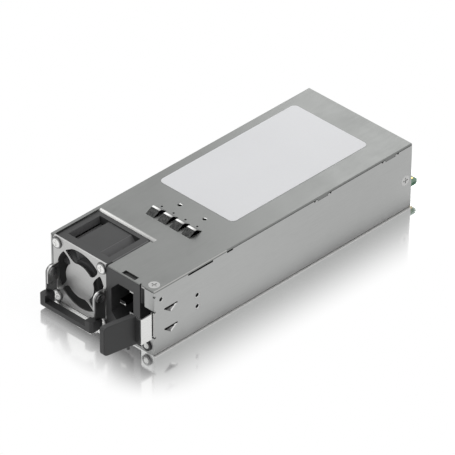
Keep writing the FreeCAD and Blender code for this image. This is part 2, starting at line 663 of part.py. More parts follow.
def without(name, base, tool):
    difference = doc.addObject("Part::Cut", name)
    difference.Base = base
    difference.Tool = tool
    return difference


def tube(name, axis, base, outer, inner, length):
    return without(name, rod(name + "_outer", axis, base, outer, length),
                   rod(name + "_bore", axis, base, inner, length))


# Case

def make_chassis():
    body = new_body("chassis")
    raise_form(body, "folded_sheet", "XZ", "0", REAR, [[
        ("0", WALL_TOP), ("0", "0"), (RIGHT, "0"), (RIGHT, WALL_TOP),
        (RIGHT_IN, WALL_TOP), (RIGHT_IN, FLOOR), ("wall", FLOOR), ("wall", WALL_TOP)]])
    soften(body, "outer_folds", "bend", "Y", [("0", "0"), (RIGHT, "0")])
    soften(body, "inner_folds", "bend - wall", "Y", [("wall", FLOOR), (RIGHT_IN, FLOOR)])
    raise_form(body, "upper_flange", "XZ", "0", "wall",
               [rect("case_width - flange_upper", "case_width - wall / 2", "window_high", WALL_TOP)])
    raise_form(body, "lower_flange", "XZ", "0", "wall",
               [rect("case_width - flange_lower", "case_width - wall / 2", "wall / 2", "window_low")])
    raise_form(body, "screw_tab", "XY", WALL_TOP + " - wall", "wall",
               [rect(RIGHT_IN + " - screw_tab_width", "case_width - wall / 2", "wall / 2",
                     "screw_tab_length")])
    cut_form(body, "fan_clearance_below", "XY", "-wall", "3 * wall",
             [rect(FAN_LEFT + " - running / 2", FAN_RIGHT + " + running / 2", "-wall",
                   FAN_REAR + " + running")])
    tab_x = "case_width - cover_screw_inset"
    cut_form(body, "screw_tab_hole", "XY", WALL_TOP + " - 2 * wall", "3 * wall",
             circles=[(tab_x, "cover_screw_inset", "screw_radius + fit")])
    notches = [rect("%s - notch_length / 2" % middle, "%s + notch_length / 2" % middle,
                    WALL_TOP + " - notch_depth", WALL_TOP + " + wall")
               for middle in ("notch_first", "notch_second")]
    notches.append(rect("vent_slot_front", "vent_slot_front + vent_slot_length",
                        WALL_TOP + " - notch_depth", WALL_TOP + " + wall"))
    notches.append(rect("cover_lip_length", "cover_lip_length + seam_notch_length",
                        WALL_TOP + " - nick_depth", WALL_TOP + " + wall"))
    notches += [rect("%s %s nick_offset - nick_length / 2" % (middle, side),
                     "%s %s nick_offset + nick_length / 2" % (middle, side),
                     WALL_TOP + " - nick_depth", WALL_TOP + " + wall")
                for middle in ("notch_first", "notch_second") for side in "-+"]
    cut_form(body, "wall_notches", "YZ", "-wall", "case_width + 2 * wall", notches)
    side_y = "case_length - side_screw_y"
    cut_form(body, "side_screw_holes", "YZ", "-wall", "case_width + 2 * wall",
             circles=[(side_y, "side_screw_z", "screw_radius + fit")])
    seat = [(side_y, "side_screw_z", "flat_head + fit")]
    cut_form(body, "right_screw_seat", "YZ", "case_width - flat_head_height", "wall", circles=seat)
    cut_form(body, "left_screw_seat", "YZ", "-wall", "wall + flat_head_height", circles=seat)
    cut_form(body, "latch_rivet_holes", "YZ", "case_width - 2 * wall", "3 * wall", circles=[
        ("latch_rivet_y", "latch_rivet_high", "latch_rivet_radius + fit"),
        ("latch_rivet_y", "latch_rivet_low", "latch_rivet_radius + fit"),
        ("pilot_hole_y", WALL_TOP + " - pilot_hole_drop", "pilot_hole_radius")])
    cut_form(body, "lamp_hole", "XZ", "-wall", "3 * wall",
             circles=[("lamp_x", "lamp_z", "lamp_neck + fit")])
    cut_form(body, "corner_nicks", "YZ", RIGHT_IN + " - fit", "2 * wall", [
        rect("-wall", "corner_nick", low, low + " + corner_nick")
        for low in ("window_low", "window_high - corner_nick",
                    WALL_TOP + " - corner_nick_drop")])
    make_darts(body)
    return keep("chassis", body)


def make_darts(body):
    """Two lances in the right wall: a slit with a three-cornered dent below it."""
    middle = "(dart_front + dart_length / 2)"
    tip = "dart_depth / 10"
    for name, top in (("upper", "dart_upper"), ("lower", "dart_lower")):
        cut_form(body, name + "_slit", "YZ", "case_width - 2 * wall", "3 * wall",
                 [rect("dart_front", "dart_front + dart_length", top, top + " + dart_slit")])
        face = draw(body, name + "_dart_face", "YZ", "case_width + fit", [[
            ("dart_front", top), ("dart_front + dart_length", top),
            (middle, top + " - dart_height")]])
        depth = draw(body, name + "_dart_depth", "YZ", "case_width - dart_depth", [[
            (middle + " - " + tip, top), (middle + " + " + tip, top), (middle, top + " - " + tip)]])
        dent = body.newObject("PartDesign::SubtractiveLoft", name + "_dart")
        dent.Profile = face
        dent.Sections = [depth]
        dent.Ruled = True


def make_cover():
    body = new_body("top_cover")
    raise_form(body, "plate", "XY", COVER_LOW, "cover_sheet", [rect("0", RIGHT, "0", REAR)])
    for side, left, right in (("left", "0", "wall"), ("right", RIGHT_IN, RIGHT)):
        raise_form(body, side + "_lip", "XY", WALL_TOP, "cover_seat + cover_sheet / 2",
                   [rect(left, right, "0", "cover_lip_length")])
        for order, middle in (("first", "notch_first"), ("second", "notch_second")):
            raise_form(body, "%s_%s_tab" % (side, order), "XY",
                       WALL_TOP + " - notch_depth + 2 * fit", "notch_depth + cover_sheet / 2",
                       [rect(left + " + fit", right + " - fit",
                             "%s - notch_length / 2 + 3 * fit" % middle,
                             "%s + notch_length / 2 - 3 * fit" % middle)])
    soften(body, "long_edges", "cover_fold", "Y",
           [("0", "case_height"), (RIGHT, "case_height")])
    skirt_low = COVER_LOW + " - skirt_drop"
    for side, left in (("left", "wall + fit"), ("right", RIGHT_IN + " - fit - cover_sheet")):
        raise_form(body, side + "_skirt", "XY", skirt_low, "skirt_drop + cover_sheet / 2",
                   [rect(left, left + " + cover_sheet", "skirt_start", REAR + " - skirt_end_gap")])
    hem_right, hem_rear = "(fan_window_right + hem_relief)", "(fan_window_rear + hem_thick)"
    cut_form(body, "fan_window", "XY", COVER_LOW + " - wall", "3 * wall", [[
        ("fan_window_left", "-wall"), ("fan_window_right", "-wall"),
        ("fan_window_right", "fan_window_rear - hem_relief"),
        (hem_right, "fan_window_rear - hem_relief"), (hem_right, hem_rear),
        ("fan_window_left", hem_rear)]])
    fold = []
    for step in range(HEM_STEPS + 1):
        turn = math.radians(90 * step / HEM_STEPS)
        fold.append(("fan_window_rear + %g * hem_round" % (1 - math.cos(turn)),
                     "case_height - %g * hem_round" % (1 - math.sin(turn))))
    raise_form(body, "window_hem", "YZ", "fan_window_left", hem_right + " - fan_window_left", [
        fold + [(hem_rear, "case_height"), (hem_rear, "case_height - window_hem"),
                ("fan_window_rear", "case_height - window_hem")]])
    cut_form(body, "inlet_slot", "XY", COVER_LOW + " - wall", "3 * wall",
             [rect("inlet_slot_left", "inlet_slot_left + inlet_slot_length", "inlet_slot_front",
                   "inlet_slot_front + inlet_slot_width")])
    reliefs = [rect(start, start + " + relief", "-relief", "relief * 0.8")
               for start in ("inlet_left", INLET_RIGHT)]
    cut_form(body, "front_reliefs", "XY", COVER_LOW + " - wall", "3 * wall", reliefs)
    screw = "case_width - cover_screw_inset"
    cut_form(body, "screw_hole", "XY", COVER_LOW + " - wall", "3 * wall",
             circles=[(screw, "cover_screw_inset", "screw_radius + fit")])
    cut_form(body, "screw_seat", "XY", "case_height - flat_head_height", "wall",
             circles=[(screw, "cover_screw_inset", "flat_head + fit")])
    collars = [("collar_left_x", "collar_hole_y"), ("collar_right_x", "collar_hole_y")]
    raise_form(body, "collars", "XY", COVER_LOW + " - collar_drop", "collar_drop + cover_sheet / 2",
               circles=[(x, y, "collar_hole_radius + collar_wall") for x, y in collars])
    cut_form(body, "collar_holes", "XY", COVER_LOW + " - 2 * collar_drop",
             "cover_sheet + 4 * collar_drop",
             circles=[(x, y, "collar_hole_radius") for x, y in collars])
    ticks = [("bridge_first + tick_x + %d * bridge_pitch" % index,
              "bridge_front + bridge_ramp + bridge_crest + bridge_fall + tick_gap", "tick_radius")
             for index in range(count("bridge_count"))]
    cut_form(body, "tick_holes", "XY", COVER_LOW + " - wall", "3 * wall", circles=ticks)
    make_bridges(body)
    return keep("top_cover", body)


def make_bridges(body):
    """A row of bridge lances: strips of the cover pushed up over their own openings."""
    crest_front = "(bridge_front + bridge_ramp)"
    crest_rear = "(bridge_front + bridge_ramp + bridge_crest)"
    rear = "(bridge_front + bridge_ramp + bridge_crest + bridge_fall)"
    top, low = "case_height", COVER_LOW
    crest_low = low + " + bridge_rise + bridge_thin"
    right = "bridge_first + bridge_width"
    opening = cut_form(body, "bridge_opening", "XY", low + " - wall", "3 * wall",
                       [rect("bridge_first", right, "bridge_front", rear)])
    row_of(body, "bridge_openings", opening, "H_Axis", "bridge_pitch * (bridge_count - 1)",
           "bridge_count")
    strip = raise_form(body, "bridge_strip", "YZ", "bridge_first - fit / 10",
                       "bridge_width + fit / 5", [[
                           ("bridge_front - fit", low), ("bridge_front + cover_sheet / 4", low),
                           (crest_front + " + cover_sheet / 4", crest_low),
                           (crest_rear + " - cover_sheet / 4", crest_low),
                           (rear + " - cover_sheet / 2", low), (rear + " + fit", low),
                           (rear + " + fit", top), (rear, top),
                           (crest_rear, top + " + bridge_rise"),
                           (crest_front, top + " + bridge_rise"),
                           ("bridge_front", top), ("bridge_front - fit", top)]])
    row_of(body, "bridge_strips", strip, "N_Axis", "bridge_pitch * (bridge_count - 1)",
           "bridge_count")


def make_rear_panel():
    body = new_body("rear_panel")
    left, right = "wall + fit", RIGHT_IN + " - fit"
    low, high = FLOOR + " + fit", WALL_TOP
    raise_form(body, "panel", "XZ", REAR + " - rear_sheet", "rear_sheet",
               [rect(left, right, low, high)])
    raise_form(body, "left_flange", "XZ", REAR + " - rear_flange", "rear_flange",
               [rect(left, left + " + rear_sheet", "rear_flange_low", "rear_flange_high")])
    raise_form(body, "right_flange", "XZ", REAR + " - rear_flange", "rear_flange",
               [rect(right + " - rear_sheet", right, "rear_flange_low", "rear_flange_high")])
    cut_form(body, "card_opening", "XZ", REAR + " - 2 * rear_sheet", "3 * rear_sheet", [rect(
        "edge_left - rear_slot_margin", "edge_right + rear_slot_margin",
        "board_z - rear_slot_margin", BOARD_TOP + " + rear_slot_margin")])
    cut_form(body, "screw_holes", "YZ", "-wall", "case_width + 2 * wall",
             circles=[(REAR + " - side_screw_y", "side_screw_z", "screw_radius + fit")])
    vent = cut_form(body, "vent_column", "XZ", REAR + " - 2 * rear_sheet", "3 * rear_sheet",
                    circles=[("vent_margin + wall", "vent_first_z + %d * vent_pitch" % row,
                              "vent_radius") for row in range(count("vent_rows"))])
    span = "(case_width - 2 * (vent_margin + wall))"
    row_of(body, "vents", vent, "H_Axis", span, "floor(%s / vent_pitch) + 1" % span)
    return keep("rear_panel", body)


def make_label():
    body = new_body("label")
    left, right = "label_left", "(label_left + label_width)"
    front, rear = "label_front", "(label_front + label_length)"
    raise_form(body, "sheet", "XY", "case_height", "label_sheet", [rect(left, right, front, rear)])
    soften(body, "corners", "label_corner", "Z",
           [(left, front), (left, rear), (right, front), (right, rear)])
    return keep("label", body)


# Fan

def fan_corners(offset="fan_pitch / 2"):
    return [("fan_x %s %s" % (a, offset), "fan_z %s %s" % (b, offset))
            for a in "-+" for b in "-+"]


def make_fan_frame():
    body = new_body("fan_frame")
    raise_form(body, "square", "XZ", FAN_FRONT, "fan_depth",
               [rect(FAN_LEFT, FAN_RIGHT, FAN_LOW, FAN_HIGH)])
    soften(body, "frame_corners", "fan_corner", "Y", [
        (x, z) for x in (FAN_LEFT, FAN_RIGHT) for z in (FAN_LOW, FAN_HIGH)])
    waist_front, waist = "grille_sheet + fan_rim", "fan_depth - fan_rim - fan_rear_rim"
    reach = "(fan_size / 2 - fan_side_rim)"
    inner = "(fan_size / 2 - fan_pocket)"
    for name, points in (
            ("top_pocket", rect("fan_x - " + reach, "fan_x + " + reach, "fan_z + " + inner,
                                FAN_HIGH + " + 1")),
            ("bottom_pocket", rect("fan_x - " + reach, "fan_x + " + reach, FAN_LOW + " - 1",
                                   "fan_z - " + inner)),
            ("left_pocket", rect(FAN_LEFT + " - 1", "fan_x - " + inner, "fan_z - " + reach,
                                 "fan_z + " + reach)),
            ("right_pocket", rect("fan_x + " + inner, FAN_RIGHT + " + 1", "fan_z - " + reach,
                                  "fan_z + " + reach))):
        cut_form(body, name, "XZ", waist_front, waist, [points])
    flat, side = "duct_flat", "(fan_size / 2 - duct_drop)"
    raise_form(body, "duct", "XZ", FAN_FRONT, "fan_depth", [[
        ("fan_x %s %s" % (a, across), "fan_z %s %s" % (b, up)) for a, across, b, up in (
            ("-", flat, "-", side), ("+", flat, "-", side), ("+", side, "-", flat),
            ("+", side, "+", flat), ("+", flat, "+", side), ("-", flat, "+", side),
            ("-", side, "+", flat), ("-", side, "-", flat))]])
    cut_form(body, "duct_bore", "XZ", "0", "fan_depth + 2 * grille_sheet",
             circles=[("fan_x", "fan_z", "duct_radius")])
    strut = "strut_width / 2"
    reach = "(duct_radius + duct_drop / 2)"
    raise_form(body, "level_struts", "XZ", TUBE_REAR, "motor_base",
               [rect("fan_x - " + reach, "fan_x + " + reach, "fan_z - " + strut, "fan_z + " + strut)])
    raise_form(body, "upright_struts", "XZ", TUBE_REAR, "motor_base",
               [rect("fan_x - " + strut, "fan_x + " + strut, "fan_z - " + reach, "fan_z + " + reach)])
    raise_form(body, "motor_plate", "XZ", TUBE_REAR, "motor_base",
               circles=[("fan_x", "fan_z", "motor_base_radius")])
    raise_form(body, "bearing_tube", "XZ", TUBE_FRONT, "tube_length + motor_base / 2",
               circles=[("fan_x", "fan_z", "bearing_radius + tube_wall")])
    cut_form(body, "bearing_bore", "XZ", "0", "tube_length + " + TUBE_FRONT,
             circles=[("fan_x", "fan_z", TUBE_BORE)])
    cut_form(body, "fixing_holes", "XZ", "0", "grille_sheet + fan_screw_length + 1",
             circles=[(x, z, "fan_screw_radius + fit") for x, z in fan_corners()])
    return keep("fan_frame", body)


def make_impeller():
    """Rotor with swept blades, drawn round its own z axis, front towards the grille."""
    body = new_body("fan_impeller")
    raise_form(body, "hub", "XY", "hub_front", "hub_length", circles=[("0", "0", "hub_radius")])
    cut_form(body, "hub_hollow", "XY", "hub_front + hub_wall", "hub_length",
             circles=[("0", "0", "hub_radius - hub_wall")])
    raise_form(body, "shaft_boss", "XY", "hub_front + hub_wall / 2", "boss_length + hub_wall / 2",
               circles=[("0", "0", "boss_radius")])
    cut_form(body, "shaft_bore", "XY", "hub_front + hub_wall", "hub_length",
             circles=[("0", "0", "shaft_radius + fit / 4")])

    def section(name, level, sweep, depth):
        """A cambered blade section: the same curve walked up one side and down the other."""
        sides = {"-": [], "+": []}
        for step in range(BLADE_STEPS + 1):
            along = step / BLADE_STEPS
            across = "%g * (%s) + %g * blade_camber" % (
                2 * along - 1, sweep, 4 * along * (1 - along))
            up = "blade_front + %g * (%s)" % (along, depth)
            for sign, points in sides.items():
                points.append(("%s %s blade_half" % (across, sign), up))
        return draw(body, name, "YZ", level, [sides["-"] + sides["+"][::-1]])

    root = section("blade_root", "hub_radius - hub_wall / 2", "blade_root_sweep", "blade_root_depth")
    tip = section("blade_tip", "duct_radius", "blade_tip_sweep", "blade_tip_depth")
    blade = body.newObject("PartDesign::AdditiveLoft", "blade")
    blade.Profile = root
    blade.Sections = [tip]
    ring = body.newObject("PartDesign::PolarPattern", "blades")
    ring.Originals = [blade]
    ring.Axis = ([item for item in body.Origin.OriginFeatures if item.Role == "Z_Axis"][0], [""])
    ring.Angle = 360
    ring.setExpression("Occurrences", bind("blade_count"))
    body.Tip = ring
    cut_form(body, "tip_trim", "XY", "0", "fan_depth", circles=[
        ("0", "0", "2 * duct_radius"), ("0", "0", "duct_radius - blade_gap")])
    body.Placement = FreeCAD.Placement(V(), TURNS["Y"])
    bases[body.Name] = ("fan_x", "0", "fan_z")
    return keep("fan_impeller", body)


def make_fan_motor():
    axis_at = lambda y: ("fan_x", y, "fan_z")
    bore = "shaft_radius + shaft_play"
    shaft_front = "hub_front + hub_wall"
    keep("fan_shaft", rod("fan_shaft", "Y", axis_at(shaft_front), "shaft_radius",
                          TUBE_REAR + " - (%s) - running" % shaft_front))
    first = tube("front_bearing", "Y", axis_at(TUBE_FRONT + " + fit"), "bearing_radius", bore,
                 "bearing_length")
    second = tube("rear_bearing", "Y", axis_at(TUBE_REAR + " - fit - bearing_length"),
                  "bearing_radius", bore, "bearing_length")
    keep("fan_bearings", grouped("fan_bearings", [first, second]))
    keep("rotor_magnet_ring", tube(
        "rotor_magnet_ring", "Y", axis_at(HUB_REAR + " - magnet_length"), MAGNET_OUT, MAGNET_IN,
        "magnet_length"))
    keep("fan_stator", tube(
        "fan_stator", "Y", axis_at(TUBE_REAR + " - motor_base - stator_length"),
        MAGNET_IN + " - stator_gap", "bearing_radius + tube_wall + fit", "stator_length"))


def make_grille():
    """Front plate with a round opening, a centre disc on curved spokes and two handle ears."""
    body = new_body("fan_grille")
    left, right = FAN_LEFT, FAN_RIGHT + " - fit"
    low, high = FAN_LOW, WALL_TOP
    raise_form(body, "plate", "XZ", "0", "grille_sheet", [rect(left, right, low, high)])
    raise_form(body, "top_edge", "XZ", "0", "grille_sheet", [rect(
        "fan_window_left + 2 * fit", right, high + " - wall", "case_height - grille_rise")])
    cut_form(body, "opening", "XZ", "-1", "grille_sheet + 2",
             circles=[("fan_x", "fan_z", "grille_opening")])
    land_low, land_high = "ear_low", "pivot_z + arm_half + grille_sheet"
    raise_form(body, "left_land", "XZ", "0", "grille_sheet",
               [rect(left, EAR_LEFT_IN, land_low, land_high)])
    raise_form(body, "right_land", "XZ", "0", "grille_sheet",
               [rect(EAR_RIGHT_IN, right, land_low, land_high)])
    ear_high = "pivot_z + arm_half"
    ear = rect("-ear_reach", "grille_sheet / 2", "ear_low", ear_high)
    raise_form(body, "left_ear", "YZ", "ear_left", "grille_sheet", [ear])
    raise_form(body, "right_ear", "YZ", EAR_RIGHT_IN, "grille_sheet", [ear])
    soften(body, "ear_corners", "ear_round", "X", [("-ear_reach", ear_high)])
    cut_form(body, "pivot_holes", "YZ", "0", "case_width",
             circles=[("-pivot_y", "pivot_z", "pivot_radius + fit")])
    raise_form(body, "centre_disc", "XZ", "0", "grille_sheet",
               circles=[("fan_x", "fan_z", "grille_disc")])
    make_spokes(body)
    cut_form(body, "fixing_holes", "XZ", "-1", "grille_sheet + 2",
             circles=[(x, z, "fan_screw_radius + fit") for x, z in fan_corners()])
    return keep("fan_grille", body)


def make_spokes(body):
    """Four thin spokes that swing forward as they run out from the centre disc to the rim."""
    inner, outer = "(grille_disc - spoke_width)", "(grille_opening + spoke_width / 2)"
    for quarter, name in enumerate(("upper_right", "upper_left", "lower_left", "lower_right")):
        edges = {"-": [], "+": []}
        for step in range(SPOKE_STEPS + 1):
            along = step / SPOKE_STEPS
            swing = SPOKE_ROOT_ANGLE + along * (SPOKE_TIP_ANGLE - SPOKE_ROOT_ANGLE)
            angle = math.radians(90 * quarter + swing)
            radius = "(%g * %s + %g * %s)" % (1 - along, inner, along, outer)
            for sign, points in edges.items():
                points.append((
                    "fan_x + %g * %s %s (%g * spoke_width / 2)" % (
                        math.cos(angle), radius, sign, -math.sin(angle)),
                    "fan_z + %g * %s %s (%g * spoke_width / 2)" % (
                        math.sin(angle), radius, sign, math.cos(angle))))
        raise_form(body, name + "_spoke", "XZ", "0", "grille_sheet",
                   [edges["-"] + edges["+"][::-1]])


# Handle

def make_handle():
    body = new_body("handle_arms")
    body.AllowCompound = True
    foot_rear = "(-pivot_y + arm_half - arm_shoulder_step)"
    profile = [("-pivot_y - arm_half", "arm_foot"), (foot_rear, "arm_foot"),
               (foot_rear, "arm_shoulder"), ("-pivot_y + arm_half", "arm_shoulder"),
               ("-pivot_y + arm_half", "pivot_z"), ("-pivot_y - arm_half", "pivot_z")]
    for side, left in (("left", ARM_LEFT), ("right", ARM_RIGHT)):
        raise_form(body, side + "_arm", "YZ", left, "arm_sheet", [profile])
        raise_form(body, side + "_arm_top", "YZ", left, "arm_sheet",
                   circles=[("-pivot_y", "pivot_z", "arm_half")])
    cut_form(body, "pivot_holes", "YZ", "0", "case_width",
             circles=[("-pivot_y", "pivot_z", "pivot_radius + fit")])
    keep("handle_arms", body)

    grip = new_body("handle_grip")
    inner_left, inner_right = "(grip_left + grip_end)", "(grip_right - grip_end)"
    bar_rear = "(-grip_front + grip_bar_depth)"
    raise_form(grip, "bow", "XY", "grip_low", "grip_high - grip_low", [[
        ("grip_left", "-grip_rear"), ("grip_left", "-grip_front"), ("grip_right", "-grip_front"),
        ("grip_right", "-grip_rear"), (inner_right, "-grip_rear"), (inner_right, bar_rear),
        (inner_left, bar_rear), (inner_left, "-grip_rear")]])
    soften(grip, "front_corners", "grip_corner", "Z",
           [("grip_left", "-grip_front"), ("grip_right", "-grip_front")])
    cut_form(grip, "finger_dip", "YZ", "grip_left + post_width",
             "grip_right - grip_left - 2 * post_width",
             [rect("-grip_front - 1", "0", "grip_bar_high", "grip_high + 1")])
    cut_form(grip, "sloped_tops", "YZ", "0", "case_width", [[
        ("-grip_front + grip_bar_depth", "grip_high"), ("0", "grip_tail"),
        ("0", "grip_high + 1"), ("-grip_front + grip_bar_depth", "grip_high + 1")]])
    for side, left in (("left", ARM_LEFT), ("right", ARM_RIGHT)):
        cut_form(grip, side + "_arm_slot", "YZ", left + " - fit", "arm_sheet + 2 * fit", [rect(
            "-pivot_y - arm_half - fit", foot_rear + " + fit", "arm_foot - fit",
            "grip_high + 1")])
    soften(grip, "lower_edge", "grip_edge", "X", [("-grip_front", "grip_low")])
    keep("handle_grip", grip)

    head = "rivet_head_height"
    rivets = []
    for side, outer_face, inner_face, axis in (
            ("left", ARM_LEFT, EAR_LEFT_IN, "X"), ("right", ARM_RIGHT + " + arm_sheet",
                                                   EAR_RIGHT_IN, "-X")):
        sign = "-" if axis == "X" else "+"
        start = "%s %s (fit + %s)" % (outer_face, sign, head)
        shank = rod(side + "_shank", axis, (start, "-pivot_y", "pivot_z"), "pivot_radius",
                    "arm_sheet + arm_play + grille_sheet + 2 * fit + 2 * " + head)
        outer = rod(side + "_outer_head", axis, (start, "-pivot_y", "pivot_z"), "rivet_head", head)
        far = "%s %s fit" % (inner_face, "+" if axis == "X" else "-")
        inner = rod(side + "_inner_head", axis, (far, "-pivot_y", "pivot_z"), "rivet_head", head)
        rivets.append(joined(side + "_rivet", [shank, outer, inner]))
    keep("handle_rivets", grouped("handle_rivets", rivets))


# Mains inlet

def make_inlet():
    body = new_body("inlet_housing")
    raise_form(body, "front_frame", "XZ", "0", "inlet_plate",
               [rect("inlet_left", INLET_RIGHT, "inlet_low", "inlet_high")])
    raise_form(body, "shell", "XZ", "inlet_plate / 2", SOCKET_BACK + " - inlet_plate / 2", [rect(
        "socket_left - socket_wall", SOCKET_RIGHT + " + socket_wall",
        SOCKET_LOW + " - socket_wall", SOCKET_HIGH + " + socket_wall")])
    cut_form(body, "recess", "XZ", "-1", "socket_depth + 1", [[
        ("socket_left + socket_chamfer", SOCKET_LOW), (SOCKET_RIGHT, SOCKET_LOW),
        (SOCKET_RIGHT, SOCKET_HIGH), ("socket_left + socket_chamfer", SOCKET_HIGH),
        ("socket_left", SOCKET_HIGH + " - socket_chamfer"),
        ("socket_left", SOCKET_LOW + " + socket_chamfer")]])
    slots = [rect("%s - blade_pin_wide / 2 - fit" % x, "%s + blade_pin_wide / 2 + fit" % x,
                  "%s - blade_pin_thick / 2 - fit" % z, "%s + blade_pin_thick / 2 + fit" % z)
             for x, z, front in PINS.values()]
    cut_form(body, "pin_slots", "XZ", "socket_depth - 1", "socket_floor + 2", slots)
    soften(body, "frame_corners", "inlet_corner", "Y", [
        (x, z) for x in ("inlet_left", INLET_RIGHT) for z in ("inlet_low", "inlet_high")])
    keep("inlet_housing", body)
    for name, (x, z, front) in PINS.items():
        make_pin(name, x, z, front)
    keep("inlet_terminal_board", make_terminal_board())


def make_pin(name, x, z, front):
    """Flat blade with a tip chamfered all round, from inside the recess to behind the back wall."""
    body = new_body(name)
    rear = SOCKET_BACK + " + pin_tail"
    left, right = "(%s - blade_pin_wide / 2)" % x, "(%s + blade_pin_wide / 2)" % x
    nip = "pin_tip"
    low, high = "(%s - blade_pin_thick / 2)" % z, "(%s + blade_pin_thick / 2)" % z
    raise_form(body, "blade_form", "XY", low, "blade_pin_thick", [[
        (left + " + " + nip, front), (right + " - " + nip, front),
        (right, "%s + %s" % (front, nip)), (right, rear), (left, rear),
        (left, "%s + %s" % (front, nip))]])
    cut_form(body, "tip_faces", "YZ", left + " - 1", "blade_pin_wide + 2", [
        [(front, edge), ("%s + %s" % (front, nip), edge), (front, "%s %s %s" % (edge, sign, nip))]
        for edge, sign in ((low, "+"), (high, "-"))])
    return keep(name, body)


def make_terminal_board():
    body = new_body("inlet_terminal_board")
    front = SOCKET_BACK + " + fit"
    raise_form(body, "board", "XZ", front, "inlet_board_sheet", [rect(
        "socket_left - socket_wall", SOCKET_RIGHT + " + socket_wall", FLOOR + " + fit",
        SOCKET_HIGH + " + socket_wall")])
    slots = [rect("%s - blade_pin_wide / 2 - fit" % x, "%s + blade_pin_wide / 2 + fit" % x,
                  "%s - blade_pin_thick / 2 - fit" % z, "%s + blade_pin_thick / 2 + fit" % z)
             for x, z, tip in PINS.values()]
    cut_form(body, "pin_slots", "XZ", SOCKET_BACK + " - 1", "inlet_board_sheet + 2", slots)
    return body


# Latch

def make_latch():
    body = new_body("latch_leaf")
    step_end = "(-leaf_step_start - leaf_step_length)"
    shoulder_in = "(-shoulder_reach + leaf_sheet)"
    hinge = "(leaf_hinge - running / 2)"
    raise_form(body, "folded_strip", "XY", "leaf_low", "leaf_high - leaf_low", [[
        (LEAF_OUT, hinge), (LEAF_OUT, "-leaf_step_start"), (PLATE_OUT, step_end),
        (PLATE_OUT, "-shoulder_reach"), (TONGUE_OUT, "-shoulder_reach"),
        (TONGUE_OUT + " - " + TONGUE_LEAN, "-tongue_reach"),
        (TONGUE_IN + " - " + TONGUE_LEAN, "-tongue_reach"),
        (TONGUE_IN + " + " + SHEET_LEAN, shoulder_in),
        (PLATE_IN, shoulder_in), (PLATE_IN, step_end), (LEAF_IN, "-leaf_step_start"),
        (LEAF_IN, hinge)]])
    trims = [rect("-tongue_reach - 1", "-shoulder_reach", "leaf_low - 1", "leaf_low + tongue_margin"),
             rect("-tongue_reach - 1", "-shoulder_reach", "leaf_high - tongue_margin",
                  "leaf_high + 1")]
    cut_form(body, "tongue_trim", "YZ", TONGUE_IN + " - tab_lean - 1",
             "leaf_sheet + tab_lean + 2", trims)
    soften(body, "plate_corner", "leaf_sheet * 0.9", "Z", [(PLATE_OUT, "-shoulder_reach")])
    keep("latch_leaf", body)

    foot = new_body("latch_spring_foot")
    raise_form(foot, "plate", "YZ", LEAF_IN, RIGHT_IN + " - " + LEAF_IN,
               [rect("leaf_hinge + running / 2", "leaf_foot", "leaf_low", "leaf_high")])
    cut_form(foot, "rivet_holes", "YZ", LEAF_IN + " - 1", "wall + 2", circles=[
        ("latch_rivet_y", z, "latch_rivet_radius + fit")
        for z in ("latch_rivet_high", "latch_rivet_low")])
    keep("latch_spring_foot", foot)

    tab = new_body("latch_tab")
    root = "(-shoulder_reach - fit)"
    raise_form(tab, "pad_form", "XY", "tab_low", "tab_high - tab_low", [[
        (TAB_OUT, root), (TAB_OUT + " - tab_lean", "-tab_reach"),
        (TAB_IN + " - tab_lean", "-tab_reach"), (TAB_IN, root)]])
    soften(tab, "tab_corners", "tab_corner", "X",
           [("-tab_reach", "tab_low"), ("-tab_reach", "tab_high")])
    doc.recompute()
    rounding = tab.newObject("PartDesign::Fillet", "tab_edges")
    rounding.Base = (tab.Group[-2], level_edges(tab.Group[-2].Shape, ("tab_low", "tab_high"),
                                                "(tab_reach - shoulder_reach) / 2"))
    rounding.setExpression("Radius", bind("tab_edge"))
    raise_form(tab, "nub", "XY", "tab_low - tab_nub_drop", "tab_nub_drop + tab_edge", [rect(
        TAB_OUT + " - tab_edge - tab_nub - " + NUB_LEAN, TAB_OUT + " - tab_edge - " + NUB_LEAN,
        "-tab_nub_y - tab_nub / 2", "-tab_nub_y + tab_nub / 2")])
    raise_form(tab, "collar", "XY", "leaf_low + collar_trim",
               "leaf_high - leaf_low - 2 * collar_trim", [rect(
                   TAB_IN + " + tab_edge", PLATE_OUT + " - collar_step",
                   "-shoulder_reach - fit - collar_depth", "-shoulder_reach - fit")])
    cut_form(tab, "tongue_pocket", "XY", "leaf_low + tongue_margin - fit",
             "leaf_high - leaf_low - 2 * tongue_margin + 2 * fit", [[
                 (TONGUE_IN + " - 2 * fit - " + TONGUE_LEAN, "-tongue_reach - fit"),
                 (TONGUE_OUT + " + fit - " + TONGUE_LEAN, "-tongue_reach - fit"),
                 (TONGUE_OUT + " + 2 * fit", "-shoulder_reach + fit"),
                 (TONGUE_IN + " - fit", "-shoulder_reach + fit")]])
    keep("latch_tab", tab)

    rivets = []
    for name, z in (("upper", "latch_rivet_high"), ("lower", "latch_rivet_low")):
        base = (LEAF_IN, "latch_rivet_y", z)
        rivets.append(tube("latch_rivet_" + name, "X", base, "latch_rivet_radius",
                           "latch_rivet_eye", RIGHT + " - " + LEAF_IN))
    keep("latch_rivets", grouped("latch_rivets", rivets))


# Indicator

